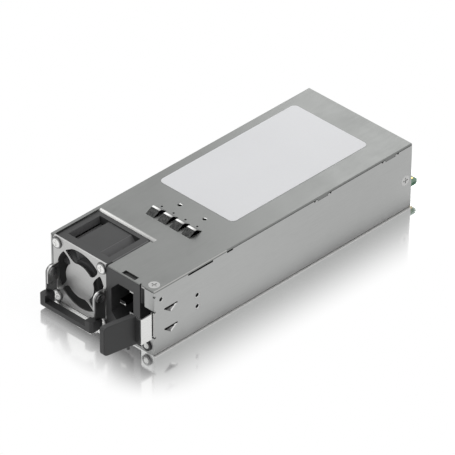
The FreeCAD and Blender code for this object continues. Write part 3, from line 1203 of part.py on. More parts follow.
def make_indicator():
    ring = tube("bezel_ring", "Y", ("lamp_x", "-lamp_bezel_height", "lamp_z"), "lamp_bezel",
                "lamp_lens + fit", "lamp_bezel_height")
    neck = tube("bezel_neck", "Y", ("lamp_x", "0", "lamp_z"), "lamp_neck", "lamp_lens + fit",
                "lamp_neck_length")
    keep("indicator_bezel", joined("indicator_bezel", [ring, neck]))
    base = ("lamp_x", "-lamp_bezel_height", "lamp_z")
    stem = rod("light_pipe_stem", "Y", base, "lamp_lens",
               "board_front + lamp_bezel_height - running")
    lens = doc.addObject("Part::Cone", "light_pipe_lens")
    lens.setExpression("Radius1", bind("lamp_lens"))
    lens.setExpression("Radius2", bind("lamp_lens * 0.7"))
    lens.setExpression("Height", bind("lamp_dome"))
    lens.Placement = FreeCAD.Placement(V(), TURNS["-Y"])
    for letter, formula in zip("xyz", base):
        lens.setExpression(".Placement.Base." + letter, bind(formula))
    keep("light_pipe", joined("light_pipe", [stem, lens]))
    half = "lamp_lens"
    keep("status_led", block("status_led", "lamp_x - " + half, "lamp_x + " + half, "board_front",
                             "board_front + 2 * " + half, "lamp_z - " + half, "board_z"))


# Boards

def make_boards():
    board = new_body("main_board")
    raise_form(board, "board", "XY", "board_z", "board_sheet", [[
        ("board_left", "board_front"), ("board_right", "board_front"), ("board_right", BOARD_REAR),
        ("edge_right", BOARD_REAR), ("edge_right", EDGE_TIP + " - edge_chamfer"),
        ("edge_right - edge_chamfer / 2", EDGE_TIP), ("edge_left + edge_chamfer / 2", EDGE_TIP),
        ("edge_left", EDGE_TIP + " - edge_chamfer"), ("edge_left", BOARD_REAR),
        ("board_left", BOARD_REAR)]])
    cut_form(board, "screw_holes", "XY", "board_z - 1", "board_sheet + 2",
             circles=[(x, y, "board_screw_radius + fit") for x, y in STANDOFFS])
    keep("main_board", board)

    total = "(contact_pitch * (contact_count - 1))"
    first = "(edge_left + edge_right) / 2 - %s / 2" % total
    rear = EDGE_TIP + " - edge_chamfer / 2"
    contacts = []
    for side, low in (("upper", BOARD_TOP), ("lower", "board_z - contact_sheet")):
        for index in range(count("contact_count")):
            left = "%s + %d * contact_pitch - contact_width / 2" % (first, index)
            contacts.append(block("%s_contact_%d" % (side, index), left,
                                  left + " + contact_width", rear + " - contact_length", rear,
                                  low, low + " + contact_sheet"))
    keep("card_edge_contacts", grouped("card_edge_contacts", contacts))

    posts, screws = [], []
    for index, (x, y) in enumerate(STANDOFFS):
        base = (x, y, FLOOR + " + insulator")
        length = "board_z - %s - insulator" % FLOOR
        posts.append(tube("standoff_%d" % index, "Z", base, "standoff_radius",
                          "board_screw_radius + fit", length))
        shank = rod("board_screw_shank_%d" % index, "Z", (x, y, BOARD_TOP + " - screw_length"),
                    "board_screw_radius", "screw_length + fit")
        head = rod("board_screw_head_%d" % index, "Z", (x, y, BOARD_TOP + " + fit"),
                   "2 * board_screw_radius", "board_screw_radius")
        screws.append(joined("board_screw_%d" % index, [shank, head]))
    keep("board_standoffs", grouped("board_standoffs", posts))
    keep("board_screws", grouped("board_screws", screws))
    keep("insulation_sheet", block(
        "insulation_sheet", "wall + bend", RIGHT_IN + " - bend", "board_front",
        REAR + " - rear_sheet - bend", FLOOR, FLOOR + " + insulator"))


def make_components():
    """The large parts on the main board that the supply needs to work."""
    top = BOARD_TOP
    keep("bulk_capacitor", rod("bulk_capacitor", "Y", (
        "bulk_x", "bulk_front", top + " + bulk_lift + bulk_radius"), "bulk_radius", "bulk_length"))
    keep("output_capacitors", grouped("output_capacitors", [
        rod("output_capacitor_%d" % index, "Z",
            ("output_can_x + %d * output_can_pitch" % index, "output_can_y", top),
            "output_can_radius", "output_can_height")
        for index in range(count("output_can_count"))]))
    bars = []
    for name, front in (("front", "bus_bar_y"), ("rear", "bus_bar_y + bus_bar_pitch")):
        bars.append(block(name + "_bus_bar", "bus_bar_x", "bus_bar_x + bus_bar_length", front,
                          front + " + bus_bar_sheet", top, top + " + bus_bar_height"))
    keep("output_bus_bars", grouped("output_bus_bars", bars))
    make_transformer()
    keep("pfc_choke", tube("pfc_choke", "Z", ("choke_x", "choke_y", top), "choke_radius",
                           "choke_bore", "choke_height"))
    keep("mains_filter_choke", tube(
        "mains_filter_choke", "Z", ("filter_choke_x", "filter_choke_y", top),
        "filter_choke_radius", "filter_choke_bore", "filter_choke_height"))
    keep("film_capacitor", block(
        "film_capacitor", "film_cap_x", "film_cap_x + film_cap_width", "film_cap_y",
        "film_cap_y + film_cap_length", top, top + " + film_cap_height"))
    keep("mains_fuse", rod("mains_fuse", "Y", (
        "fuse_x", "fuse_y", top + " + fuse_radius"), "fuse_radius", "fuse_length"))
    make_heatsink()
    keep("control_board", block(
        "control_board", "control_x", "control_x + control_sheet", "control_y",
        "control_y + control_length", top, top + " + control_height"))


def make_transformer():
    """A double E core standing on the board, its winding filling both windows."""
    body = new_body("transformer_core")
    left, right = "core_x", "(core_x + core_width)"
    low, high = BOARD_TOP, BOARD_TOP + " + core_height"
    raise_form(body, "core_form", "XZ", "core_y", "core_depth", [rect(left, right, low, high)])
    middle = "(core_x + core_width / 2)"
    yoke_low, yoke_high = low + " + core_yoke", high + " - core_yoke"
    windows = [rect(middle + " - core_post / 2 - core_window", middle + " - core_post / 2",
                    yoke_low, yoke_high),
               rect(middle + " + core_post / 2", middle + " + core_post / 2 + core_window",
                    yoke_low, yoke_high)]
    cut_form(body, "windows", "XZ", "core_y - 1", "core_depth + 2", windows)
    keep("transformer_core", body)

    coil = new_body("transformer_windings")
    reach = "(core_post / 2 + core_window - fit)"
    raise_form(coil, "coil", "XY", yoke_low + " + fit", "core_height - 2 * core_yoke - 2 * fit",
               [rect(middle + " - " + reach, middle + " + " + reach, "core_y - core_window",
                     "core_y + core_depth + core_window"),
                rect(middle + " - core_post / 2 - fit", middle + " + core_post / 2 + fit",
                     "core_y - fit", "core_y + core_depth + fit")])
    keep("transformer_windings", coil)


def make_heatsink():
    body = new_body("primary_heatsink")
    low = BOARD_TOP
    raise_form(body, "plate", "XY", low, "fin_height",
               [rect("fin_x", "fin_x + fin_plate", "fin_y", "fin_y + fin_length")])
    fin = raise_form(body, "fin", "XY", low, "fin_sheet", [rect(
        "fin_x + fin_plate / 2", "fin_x + fin_plate + fin_depth", "fin_y",
        "fin_y + fin_length")])
    row_of(body, "fins", fin, "N_Axis", "fin_pitch * (fin_count - 1)", "fin_count")
    keep("primary_heatsink", body)


# Fasteners, set directly because each group holds several loose solids

def cross_recess(reach, width, depth):
    bars = [Part.makeBox(2 * a, 2 * b, depth, V(-a, -b, 0))
            for a, b in ((reach, width / 2), (width / 2, reach))]
    return bars[0].fuse(bars[1])


def screw_shape(head_radius, head_height, shank_radius, shank_length):
    """A screw whose head sits on z = 0, with its shank below and its recess on top."""
    shape = Part.makeCylinder(head_radius, head_height)
    shape = shape.fuse(Part.makeCylinder(shank_radius, shank_length, V(0, 0, -shank_length)))
    recess = cross_recess(num("cross_reach"), num("cross_width"), 2 * num("cross_depth"))
    recess.translate(V(0, 0, head_height - num("cross_depth")))
    return shape.cut(recess).removeSplitter()


def fastener_group(label, places, sizes):
    """Copies of one screw: each place has its seat point and the way its head faces."""
    shapes = []
    for point, facing in places:
        shape = screw_shape(*[num(item) for item in sizes])
        shape.Placement = FreeCAD.Placement(V(*[num(item) for item in point]), TURNS[facing])
        shapes.append(shape)
    group = doc.addObject("Part::Feature", label)
    group.Shape = Part.makeCompound(shapes)
    return keep(label, group)


def make_fasteners():
    case_screw = ("flat_head", "flat_head_height", "screw_radius", "screw_length")
    fan_screw = ("pan_head", "pan_head_height", "fan_screw_radius", "fan_screw_length")
    screw_x = "case_width - cover_screw_inset"
    fastener_group("cover_screw", [
        ((screw_x, "cover_screw_inset", "case_height - flat_head_height"), "Z")], case_screw)
    side_y = REAR + " - side_screw_y"
    fastener_group("side_screws", [
        (("case_width - flat_head_height", side_y, "side_screw_z"), "X"),
        (("flat_head_height", side_y, "side_screw_z"), "-X")], case_screw)
    fastener_group("fan_screws", [((x, "0", z), "-Y") for x, z in fan_corners()], fan_screw)


make_chassis()
make_cover()
make_rear_panel()
make_label()
make_fan_frame()
make_impeller()
make_fan_motor()
make_grille()
make_handle()
make_inlet()
make_latch()
make_indicator()
make_boards()
make_components()
make_fasteners()
doc.recompute()

faults = ["%s: %s" % (thing.Name, ", ".join(thing.State)) for thing in doc.Objects
          if "Invalid" in thing.State or "Error" in thing.State]
for label, thing in nodes.items():
    shape = thing.Shape
    if shape.isNull() or not shape.isValid() or not shape.Solids:
        faults.append("%s: no valid solid" % label)
if faults:
    raise RuntimeError("; ".join(faults))

os.makedirs("parts", exist_ok=True)
for label, thing in nodes.items():
    thing.Shape.exportStep("parts/%s.step" % label)
print("%d nodes" % len(nodes))
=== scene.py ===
import math

import bmesh
import bpy
from mathutils import Matrix, Vector


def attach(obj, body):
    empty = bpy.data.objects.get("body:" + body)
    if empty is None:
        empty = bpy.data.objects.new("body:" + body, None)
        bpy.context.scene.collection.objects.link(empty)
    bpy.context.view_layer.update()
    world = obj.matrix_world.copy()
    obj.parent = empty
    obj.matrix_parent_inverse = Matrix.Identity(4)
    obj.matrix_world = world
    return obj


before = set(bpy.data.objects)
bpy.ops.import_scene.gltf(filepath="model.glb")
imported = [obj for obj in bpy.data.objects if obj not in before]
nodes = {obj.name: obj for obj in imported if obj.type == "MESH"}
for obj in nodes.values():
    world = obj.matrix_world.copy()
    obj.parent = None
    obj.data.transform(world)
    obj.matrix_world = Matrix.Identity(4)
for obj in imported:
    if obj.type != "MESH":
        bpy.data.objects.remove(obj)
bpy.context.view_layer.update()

# Measures in millimetres: x from the case's left wall, y from its front, z from below

MM = 0.001
CASE_WIDTH = 73.5
CASE_LENGTH = 185.0
CASE_HEIGHT = 39.0
COVER_LIP = 51.0
FAN_X, FAN_Z = 20.5, 19.1
FAN_SCREW_OFFSET = 16.0


def from_left(x):
    """The x coordinate in metres of what lies x millimetres from the left wall."""
    return (x - CASE_WIDTH / 2) * MM


def from_front(y):
    """The y coordinate in metres of what lies y millimetres behind the front."""
    return (y - CASE_LENGTH / 2) * MM


def at(x, y, z):
    """A point in metres, given in the case's millimetres."""
    return Vector((from_left(x), from_front(y), z * MM))


# Node building blocks

NO_LIMIT = 1.1  # more than any place in metres and any part of a unit normal
MIX_FACTOR, MIX_FIRST, MIX_SECOND, MIX_RESULT = 0, 6, 7, 2  # a Mix node's sockets for colours


def set_socket(tree, socket, item):
    """Give a socket a plain value, or a link when the item is a node's output."""
    if isinstance(item, bpy.types.NodeSocket):
        tree.links.new(item, socket)
    else:
        socket.default_value = item


def add_node(tree, kind, sockets, operation=None):
    """A new node, with a value or an output for each named or numbered input."""
    node = tree.nodes.new(kind)
    if operation:
        node.operation = operation
    for socket, item in sockets.items():
        set_socket(tree, node.inputs[socket], item)
    return node


class Shader:
    """A material's Principled shader, with short calls for the nodes that feed it."""

    def __init__(self, material):
        self.material = material
        self.tree = material.node_tree
        self.bsdf = self.tree.nodes["Principled BSDF"]
        self.coords = self.add("ShaderNodeTexCoord", {}).outputs["Object"]

    @classmethod
    def new(cls, name, base, rough, metallic=0.0, specular=0.5):
        """The shader of a new material with these uniform values."""
        material = bpy.data.materials.new(name)
        material.use_nodes = True
        made = cls(material)
        made.bsdf.inputs["Base Color"].default_value = (*base, 1.0)
        made.bsdf.inputs["Roughness"].default_value = rough
        made.bsdf.inputs["Metallic"].default_value = metallic
        made.bsdf.inputs["Specular IOR Level"].default_value = specular
        return made

    def add(self, kind, sockets, operation=None):
        return add_node(self.tree, kind, sockets, operation)

    def feed(self, socket, output):
        """Link an output to one of the Principled shader's sockets."""
        self.tree.links.new(output, self.bsdf.inputs[socket])

    def scaled(self, scale):
        sockets = {"Vector": self.coords, "Scale": scale}
        return self.add("ShaderNodeMapping", sockets).outputs["Vector"]

    def noise(self, scale, detail, roughness, stretch=(1, 1, 1)):
        sockets = {"Vector": self.scaled(stretch), "Scale": scale,
                   "Detail": detail, "Roughness": roughness}
        return self.add("ShaderNodeTexNoise", sockets).outputs["Fac"]

    def cells(self, scale, feature, stretch=(1, 1, 1)):
        sockets = {"Vector": self.scaled(stretch), "Scale": scale}
        node = self.add("ShaderNodeTexVoronoi", sockets)
        node.feature = feature
        return node.outputs["Distance"]

    def spread(self, value, low, high, to_low=0.0, to_high=1.0):
        """The value carried from one range over to another, and held at its ends."""
        sockets = {"Value": value, "From Min": low, "From Max": high,
                   "To Min": to_low, "To Max": to_high}
        return self.add("ShaderNodeMapRange", sockets).outputs["Result"]

    def math(self, operation, *values):
        """One step of arithmetic on numbers or outputs."""
        return self.add("ShaderNodeMath", dict(enumerate(values)), operation).outputs["Value"]

    def blend(self, factor, first, second):
        """The first colour where the factor is 0, and the second where it is 1."""
        node = self.tree.nodes.new("ShaderNodeMix")
        node.data_type = "RGBA"
        set_socket(self.tree, node.inputs[MIX_FACTOR], factor)
        for number, color in ((MIX_FIRST, first), (MIX_SECOND, second)):
            opaque = (*color, 1.0) if isinstance(color, tuple) else color
            set_socket(self.tree, node.inputs[number], opaque)
        return node.outputs[MIX_RESULT]

    def tone(self, factor, color):
        """Lay another colour over the base colour where the factor is 1."""
        plain = self.bsdf.inputs["Base Color"].links[0].from_socket
        self.feed("Base Color", self.blend(factor, plain, color))

    def all_of(self, *factors):
        """The product of factors, which is 1 only where all of them are."""
        whole = factors[0]
        for factor in factors[1:]:
            whole = self.math("MULTIPLY", whole, factor)
        return whole

    def mask(self, *limits):
        """1 where each value lies between its two limits, and 0 elsewhere."""
        tests = []
        for value, low, high in limits:
            tests += [self.math("GREATER_THAN", value, low), self.math("LESS_THAN", value, high)]
        return self.all_of(*tests)

    def places(self):
        """Where a point is and which way its face looks, as x, y and z each."""
        normal = self.add("ShaderNodeNewGeometry", {}).outputs["True Normal"]
        return tuple(self.add("ShaderNodeSeparateXYZ", {"Vector": vector}).outputs
                     for vector in (self.coords, normal))

    def bump(self, height, strength, distance):
        sockets = {"Height": height, "Strength": strength, "Distance": distance}
        self.feed("Normal", self.add("ShaderNodeBump", sockets).outputs["Normal"])


def tinted(base, gain):
    return tuple(min(1.0, channel * gain) for channel in base)


# Materials

ROLLED = {"X": (0.04, 1, 1), "Y": (1, 0.04, 1), "Z": (1, 1, 0.04)}
SHEET_GRAIN = 0.05


def sheet_metal(name, base, rough, along="Y", cloud=0.05):
    """Zinc plated sheet: rolling lines one way, soft clouds and a very fine grain."""
    made = Shader.new(name, base, rough, metallic=1.0)
    lines = made.noise(2600, 3.0, 0.6, ROLLED[along])
    clouds = made.noise(38, 5.0, 0.6)
    fine = made.noise(5200, 2.0, 0.5)
    shade = made.math("ADD", made.spread(lines, 0.3, 0.7, -SHEET_GRAIN, SHEET_GRAIN),
                      made.spread(clouds, 0.3, 0.7, -cloud, cloud))
    change = SHEET_GRAIN + cloud
    made.feed("Base Color", made.blend(made.spread(shade, -change, change),
                                       tinted(base, 1 - change), tinted(base, 1 + change)))
    made.feed("Roughness", made.math("ADD", made.spread(clouds, 0.3, 0.7, -0.05, 0.06),
                                     made.spread(lines, 0.3, 0.7, rough - 0.05, rough + 0.05)))
    made.bump(made.math("ADD", lines, made.math("MULTIPLY", fine, 0.6)), 0.05, 0.00004)
    return made.material


def moulded(name, base, rough, bump=0.25, cloud=0.12):
    """Moulded plastic with a spark eroded grain and faint flow clouds."""
    made = Shader.new(name, base, rough, specular=0.45)
    grain = made.noise(2400, 3.0, 0.6)
    clouds = made.noise(70, 3.0, 0.5)
    made.feed("Base Color", made.blend(made.spread(clouds, 0.3, 0.7),
                                       tinted(base, 1 - cloud), tinted(base, 1 + cloud)))
    made.feed("Roughness", made.spread(made.math("ADD", grain, clouds), 0.6, 1.4,
                                       rough - 0.06, rough + 0.08))
    made.bump(grain, bump, 0.00006)
    return made.material


def film(name, base, rough):
    """Printed film: a faint fibre and a slow change of tone."""
    made = Shader.new(name, base, rough, specular=0.4)
    fibre = made.noise(3000, 3.0, 0.6, (1, 0.35, 1))
    slow = made.noise(22, 2.0, 0.5)
    made.feed("Base Color", made.blend(made.spread(made.math("ADD", fibre, slow), 0.7, 1.3),
                                       tinted(base, 0.975), tinted(base, 1.02)))
    made.feed("Roughness", made.spread(fibre, 0.3, 0.7, rough - 0.03, rough + 0.05))
    made.bump(fibre, 0.06, 0.00003)
    return made.material


def circuit(name, base):
    """Solder resist over copper tracks, with fine vias."""
    made = Shader.new(name, base, 0.35)
    tracks = made.cells(420, "DISTANCE_TO_EDGE", (1, 0.55, 1))
    ground = made.blend(made.spread(tracks, 0.03, 0.07), tinted(base, 1.7), tinted(base, 1.0))
    vias = made.spread(made.cells(700, "F1"), 0.08, 0.12)
    made.feed("Base Color", made.blend(vias, (0.55, 0.5, 0.35), ground))
    made.bump(tracks, 0.15, 0.00008)
    return made.material


def cast_grain(name, base, rough, metallic=0.0, bump=0.2):
    """Cast, sintered or plated stuff: one even grain in tone, gloss and height."""
    made = Shader.new(name, base, rough, metallic)
    grain = made.noise(900, 4.0, 0.6)
    made.feed("Base Color", made.blend(made.spread(grain, 0.3, 0.7),
                                       tinted(base, 0.85), tinted(base, 1.12)))
    made.feed("Roughness", made.spread(grain, 0.3, 0.7, rough - 0.05, rough + 0.07))
    made.bump(grain, bump, 0.00005)
    return made.material


def wound(name, base):
    """Enamelled wire laid side by side."""
    made = Shader.new(name, base, 0.3, metallic=0.6)
    sockets = {"Vector": made.scaled((1, 1, 0.2)), "Scale": 500, "Distortion": 0.6}
    wave = made.add("ShaderNodeTexWave", sockets).outputs["Fac"]
    made.feed("Base Color", made.blend(wave, tinted(base, 0.5), tinted(base, 1.2)))
    made.bump(wave, 0.6, 0.0002)
    return made.material


CASE = sheet_metal("case_zinc", (0.44, 0.445, 0.44), 0.42)
COVER = sheet_metal("cover_zinc", (0.215, 0.22, 0.215), 0.42)
GRILLE = sheet_metal("grille_zinc", (0.52, 0.52, 0.515), 0.36, along="X")
ARM = sheet_metal("arm_steel", (0.20, 0.20, 0.20), 0.30, along="Z")
LATCH = sheet_metal("latch_steel", (0.72, 0.72, 0.71), 0.27, cloud=0.02)
RIVET = sheet_metal("rivet_steel", (0.45, 0.45, 0.45), 0.26, along="X")
SCREW = sheet_metal("screw_steel", (0.50, 0.50, 0.495), 0.25, along="Z")
BRIGHT_SCREW = sheet_metal("fan_screw_steel", (0.82, 0.82, 0.81), 0.22, along="X")
# The lips' steel is brighter than the sheets they are rolled from: partly the metal's real
# reflection, partly a painted highlight on the holes' far walls
FLARE = sheet_metal("flare_steel", (0.88, 0.88, 0.87), 0.30, along="Z")
ALUMINIUM = sheet_metal("heatsink_aluminium", (0.72, 0.72, 0.73), 0.35)
FAN = moulded("fan_plastic", (0.030, 0.0305, 0.031), 0.42)
IMPELLER = moulded("impeller_plastic", (0.13, 0.131, 0.133), 0.34)
INLET = moulded("inlet_plastic", (0.048, 0.0485, 0.049), 0.45)
GRIP = moulded("grip_plastic", (0.016, 0.0165, 0.017), 0.42)
TAB = moulded("tab_plastic", (0.024, 0.0245, 0.025), 0.46)
BEZEL = moulded("bezel_plastic", (0.012, 0.012, 0.013), 0.4)
LENS = moulded("lens_plastic", (0.85, 0.86, 0.84), 0.25, bump=0.05, cloud=0.02)
SLEEVE = moulded("capacitor_sleeve", (0.02, 0.02, 0.035), 0.3, bump=0.05)
FILM_CAP = moulded("film_capacitor_case", (0.72, 0.56, 0.1), 0.4)
LABEL = film("label_film", (0.73, 0.735, 0.75), 0.5)
INSULATOR = film("insulating_film", (0.72, 0.68, 0.5), 0.4)
BOARD = circuit("board_resist", (0.018, 0.13, 0.055))
GOLD = cast_grain("gold_plating", (0.86, 0.62, 0.24), 0.25, metallic=1.0, bump=0.05)
PIN = cast_grain("nickel_pins", (0.66, 0.66, 0.65), 0.28, metallic=1.0, bump=0.05)
EARTH = cast_grain("earth_pin_nickel", (0.62, 0.62, 0.61), 0.34, metallic=1.0, bump=0.05)
BRASS = cast_grain("brass_posts", (0.72, 0.55, 0.26), 0.3, metallic=1.0, bump=0.05)
FERRITE = cast_grain("ferrite", (0.07, 0.07, 0.072), 0.6)
CERAMIC = cast_grain("fuse_ceramic", (0.8, 0.79, 0.74), 0.4)
COPPER = wound("copper_winding", (0.72, 0.35, 0.16))


# Tones painted at places on the sheets: painted highlights on folds and crests, painted shade and
# shadow in ramps, slits and darts, and cut edges

# Black that stands for painted shade in slits and on faces seen through gaps
SHADE_BLACK = (0.006, 0.006, 0.006)
LANCE_RISE = 2.4
LANCE_TOP = CASE_HEIGHT + LANCE_RISE
LANCE_FIRST, LANCE_PITCH = 22.0, 8.4
CREST_BRIGHT, CREST_DULL = 2.6, 5.6
HEM_FRONT, HEM_REAR = 29, 34
HEM_BRIGHT, HEM_DULL = 8, 38
FOLD_TURN = (0.25, 0.97)


def dress_cover(material):
    """Painted shade on lance ramps and slits; painted highlights on crests, long fold and fan
    window hem.
    """
    made = Shader(material)
    place, facing = made.places()
    raised = made.math("GREATER_THAN", place["Z"], (CASE_HEIGHT + 0.06) * MM)
    ramp = made.math("LESS_THAN", facing["Y"], -0.1)
    side = made.math("GREATER_THAN", made.math("ABSOLUTE", facing["X"]), 0.5)
    # Painted shade on the raised lance ramps that face the front, with a streaky texture
    ramp_shade = made.blend(made.spread(made.noise(1500, 2.0, 0.6, (1, 0.2, 1)), 0.35, 0.65),
                      (0.018, 0.0185, 0.018), (0.060, 0.061, 0.060))
    made.tone(made.all_of(raised, ramp), ramp_shade)
    # Black painted shade in the lances' side slits
    made.tone(made.all_of(raised, side), SHADE_BLACK)
    # Painted highlight along the lance crests, bright near the front of each pitch and dull
    # behind
    near_top = made.spread(place["Z"], (LANCE_TOP - 0.7) * MM, (LANCE_TOP - 0.1) * MM)
    level = made.mask((facing["Z"], 0.7, NO_LIMIT), (facing["Y"], -0.1, NO_LIMIT))
    from_first = made.math("SUBTRACT", place["X"], from_left(LANCE_FIRST))
    across = made.math("MODULO", from_first, LANCE_PITCH * MM)
    crest_highlight = made.blend(made.spread(across, CREST_BRIGHT * MM, CREST_DULL * MM),
                       (0.78, 0.78, 0.77), (0.26, 0.26, 0.255))
    made.tone(made.all_of(near_top, level), crest_highlight)
    # Painted highlight on the cover's long fold
    fold = made.mask((facing["X"], *FOLD_TURN), (facing["Z"], *FOLD_TURN),
                     (place["Y"], -NO_LIMIT, from_front(COVER_LIP)))
    made.tone(fold, (0.42, 0.42, 0.41))
    # Painted highlight on the fan window's hem, brighter towards the left
    hem = made.mask((facing["Y"], -NO_LIMIT, -0.12),
                    (place["Z"], 0, (CASE_HEIGHT + 0.01) * MM),
                    (place["Y"], from_front(HEM_FRONT), from_front(HEM_REAR)))
    along = made.spread(place["X"], from_left(HEM_BRIGHT), from_left(HEM_DULL))
    made.tone(hem, made.blend(along, (0.50, 0.50, 0.49), (0.32, 0.32, 0.315)))


DART_FRONT, DART_REAR = 6.5, 16.5
DART_LOW, DART_HIGH = 8, 26.2
DART_TOPS = (24.8, 12.5)
DART_SHADOW = (6.9, 13.9)
LATCH_WINDOW_LOW, LATCH_WINDOW_HIGH = 11.4, 26.4
WALL_RIM = 36


def dress_chassis(material):
    """Painted shade and highlights on the darts, a painted highlight on the folds, painted shade
    on the upper rim, and a light cut edge by the latch.
    """
    made = Shader(material)
    place, facing = made.places()
    darts = made.mask((place["X"], from_left(CASE_WIDTH - 1.2), NO_LIMIT),
                      (place["Y"], from_front(DART_FRONT), from_front(DART_REAR)),
                      (place["Z"], DART_LOW * MM, DART_HIGH * MM))
    # Painted shade on the dart facets that face away from the front
    away = made.mask((facing["Y"], 0.03, 0.6))
    made.tone(made.all_of(darts, away), (0.13, 0.13, 0.13))
    # Painted highlight on the dart facets that face the front, turning to painted shade deeper in
    # the dent
    towards = made.mask((facing["Y"], -0.6, -0.03))
    depth = made.spread(place["X"], from_left(CASE_WIDTH - 0.28), from_left(CASE_WIDTH - 0.16))
    near_side = made.blend(depth, (0.22, 0.22, 0.22), (0.72, 0.72, 0.71))
    made.tone(made.all_of(darts, towards), near_side)
    # Black painted shade in the dart slits
    slit = made.math("LESS_THAN", facing["X"], 0.5)
    made.tone(made.all_of(darts, slit), SHADE_BLACK)
    # Painted shadow under each dart's upper edge
    upper_edges = made.math("MAXIMUM", *[
        made.mask((place["Z"], (top - 0.8) * MM, (top + 1.0) * MM)) for top in DART_TOPS])
    shadow_span = made.mask((place["X"], -NO_LIMIT, from_left(CASE_WIDTH - 0.02)),
                        (place["Y"], *map(from_front, DART_SHADOW)))
    made.tone(made.all_of(darts, upper_edges, shadow_span), (0.012, 0.012, 0.012))
    # Painted highlight on the lower folds, standing for the reflected white floor
    fold = made.mask((made.math("ABSOLUTE", facing["X"]), 0.25, 0.98),
                     (facing["Z"], -0.97, -0.15))
    made.tone(fold, (0.62, 0.62, 0.61))
    # Painted shade on the wall tops seen through the seam
    rim = made.mask((facing["Z"], 0.9, NO_LIMIT), (place["Z"], WALL_RIM * MM, NO_LIMIT))
    made.tone(rim, (0.008, 0.008, 0.008))
    cut = made.mask((facing["Y"], -NO_LIMIT, -0.6),
                    (place["X"], from_left(CASE_WIDTH - 1.1), NO_LIMIT),
                    (place["Y"], -NO_LIMIT, from_front(0.6)),
                    (place["Z"], LATCH_WINDOW_LOW * MM, LATCH_WINDOW_HIGH * MM))
    made.tone(cut, (0.80, 0.80, 0.79))
    made.feed("Metallic", made.math("SUBTRACT", 1.0, cut))


def fan_offsets(made):
    """How far a point lies to the right of the fan's axis and above it."""
    place = made.places()[0]
    return (made.math("SUBTRACT", place["X"], from_left(FAN_X)),
            made.math("SUBTRACT", place["Z"], FAN_Z * MM))


def squared_length(made, offsets):
    """Square of the distance that two offsets make."""
    return made.math("ADD", *[made.math("MULTIPLY", value, value) for value in offsets])


def fan_screw_reach(made):
    """Distance from the nearest fan screw's axis."""
    offsets = [made.math("SUBTRACT", made.math("ABSOLUTE", value), FAN_SCREW_OFFSET * MM)
               for value in fan_offsets(made)]
    return made.math("SQRT", squared_length(made, offsets))


HEAD_GAP = 3.4
HEAD_RIM, HEAD_EDGE = 2.2, 2.6


def dress_grille(material):
    """A shadow gap round each fan screw's head."""
    made = Shader(material)
    facing = made.places()[1]
    gap = made.mask((fan_screw_reach(made), -NO_LIMIT, HEAD_GAP * MM),
                    (facing["Y"], -NO_LIMIT, -0.5))
    made.tone(gap, (0.16, 0.16, 0.16))


def dress_fan_screws(material):
    """Painted shade on the rolled rim round each head."""
    made = Shader(material)
    rim = made.spread(fan_screw_reach(made), HEAD_RIM * MM, HEAD_EDGE * MM)
    made.tone(rim, (0.26, 0.26, 0.26))


DUCT_RADIUS, DUCT_FRONT, FAN_REAR = 18.1, 0.8, 30


def light_duct(material):
    """A lighter bore in the fan's frame, where light falls in through the grille."""
    made = Shader(material)
    place = made.places()[0]
    reach = squared_length(made, fan_offsets(made))
    bore = made.mask((reach, -NO_LIMIT, (DUCT_RADIUS * MM) ** 2),
                     (place["Y"], from_front(DUCT_FRONT), from_front(FAN_REAR)))
    made.tone(bore, (0.12, 0.12, 0.12))


def tone_faces(material, color, *limits):
    """Another tone within limits of ("place" or "facing", axis, low, high)."""
    made = Shader(material)
    place, facing = made.places()
    made.tone(made.mask(*[((place if kind == "place" else facing)[axis], low, high)
                          for kind, axis, low, high in limits]), color)


dress_cover(COVER)
dress_chassis(CASE)
dress_grille(GRILLE)
dress_fan_screws(BRIGHT_SCREW)

# Painted light in the pockets of the fan frame's top, seen through the fan window: walls, then
# floors

POCKET = ("place", "Y", from_front(5), from_front(FAN_REAR))
tone_faces(FAN, (0.15, 0.15, 0.152),
           ("place", "Z", 32 * MM, NO_LIMIT), ("facing", "X", 0.3, NO_LIMIT), POCKET)
tone_faces(FAN, (0.11, 0.11, 0.112),
           ("place", "Z", 30 * MM, 37.4 * MM), ("facing", "Z", 0.3, NO_LIMIT), POCKET)
light_duct(FAN)

# Painted shade on the upper edge of the latch leaf, the near side of the collared holes' lips and
# the top of the inlet's housing

tone_faces(LATCH, (0.22, 0.22, 0.22), ("facing", "Z", 0.7, NO_LIMIT))
tone_faces(FLARE, (0.015, 0.015, 0.015),
           ("place", "Z", 38 * MM, NO_LIMIT), ("facing", "Y", -0.35, NO_LIMIT))
tone_faces(INLET, SHADE_BLACK, ("place", "Z", 37 * MM, NO_LIMIT), ("facing", "Z", 0.9, NO_LIMIT))

# Painted shade on the upper half of the earth pin's tip, then on the pin's other sides; painted
# shade on the neutral pin, which is lower

EARTH_MIDDLE, BETWEEN_PINS = 19.45, 16
tone_faces(EARTH, (0.02, 0.02, 0.02),
           ("facing", "Y", -NO_LIMIT, -0.2), ("place", "Z", EARTH_MIDDLE * MM, NO_LIMIT))
tone_faces(EARTH, (0.03, 0.03, 0.03), ("facing", "Y", -0.15, NO_LIMIT))
tone_faces(PIN, (0.22, 0.22, 0.22), ("place", "Z", -NO_LIMIT, BETWEEN_PINS * MM))

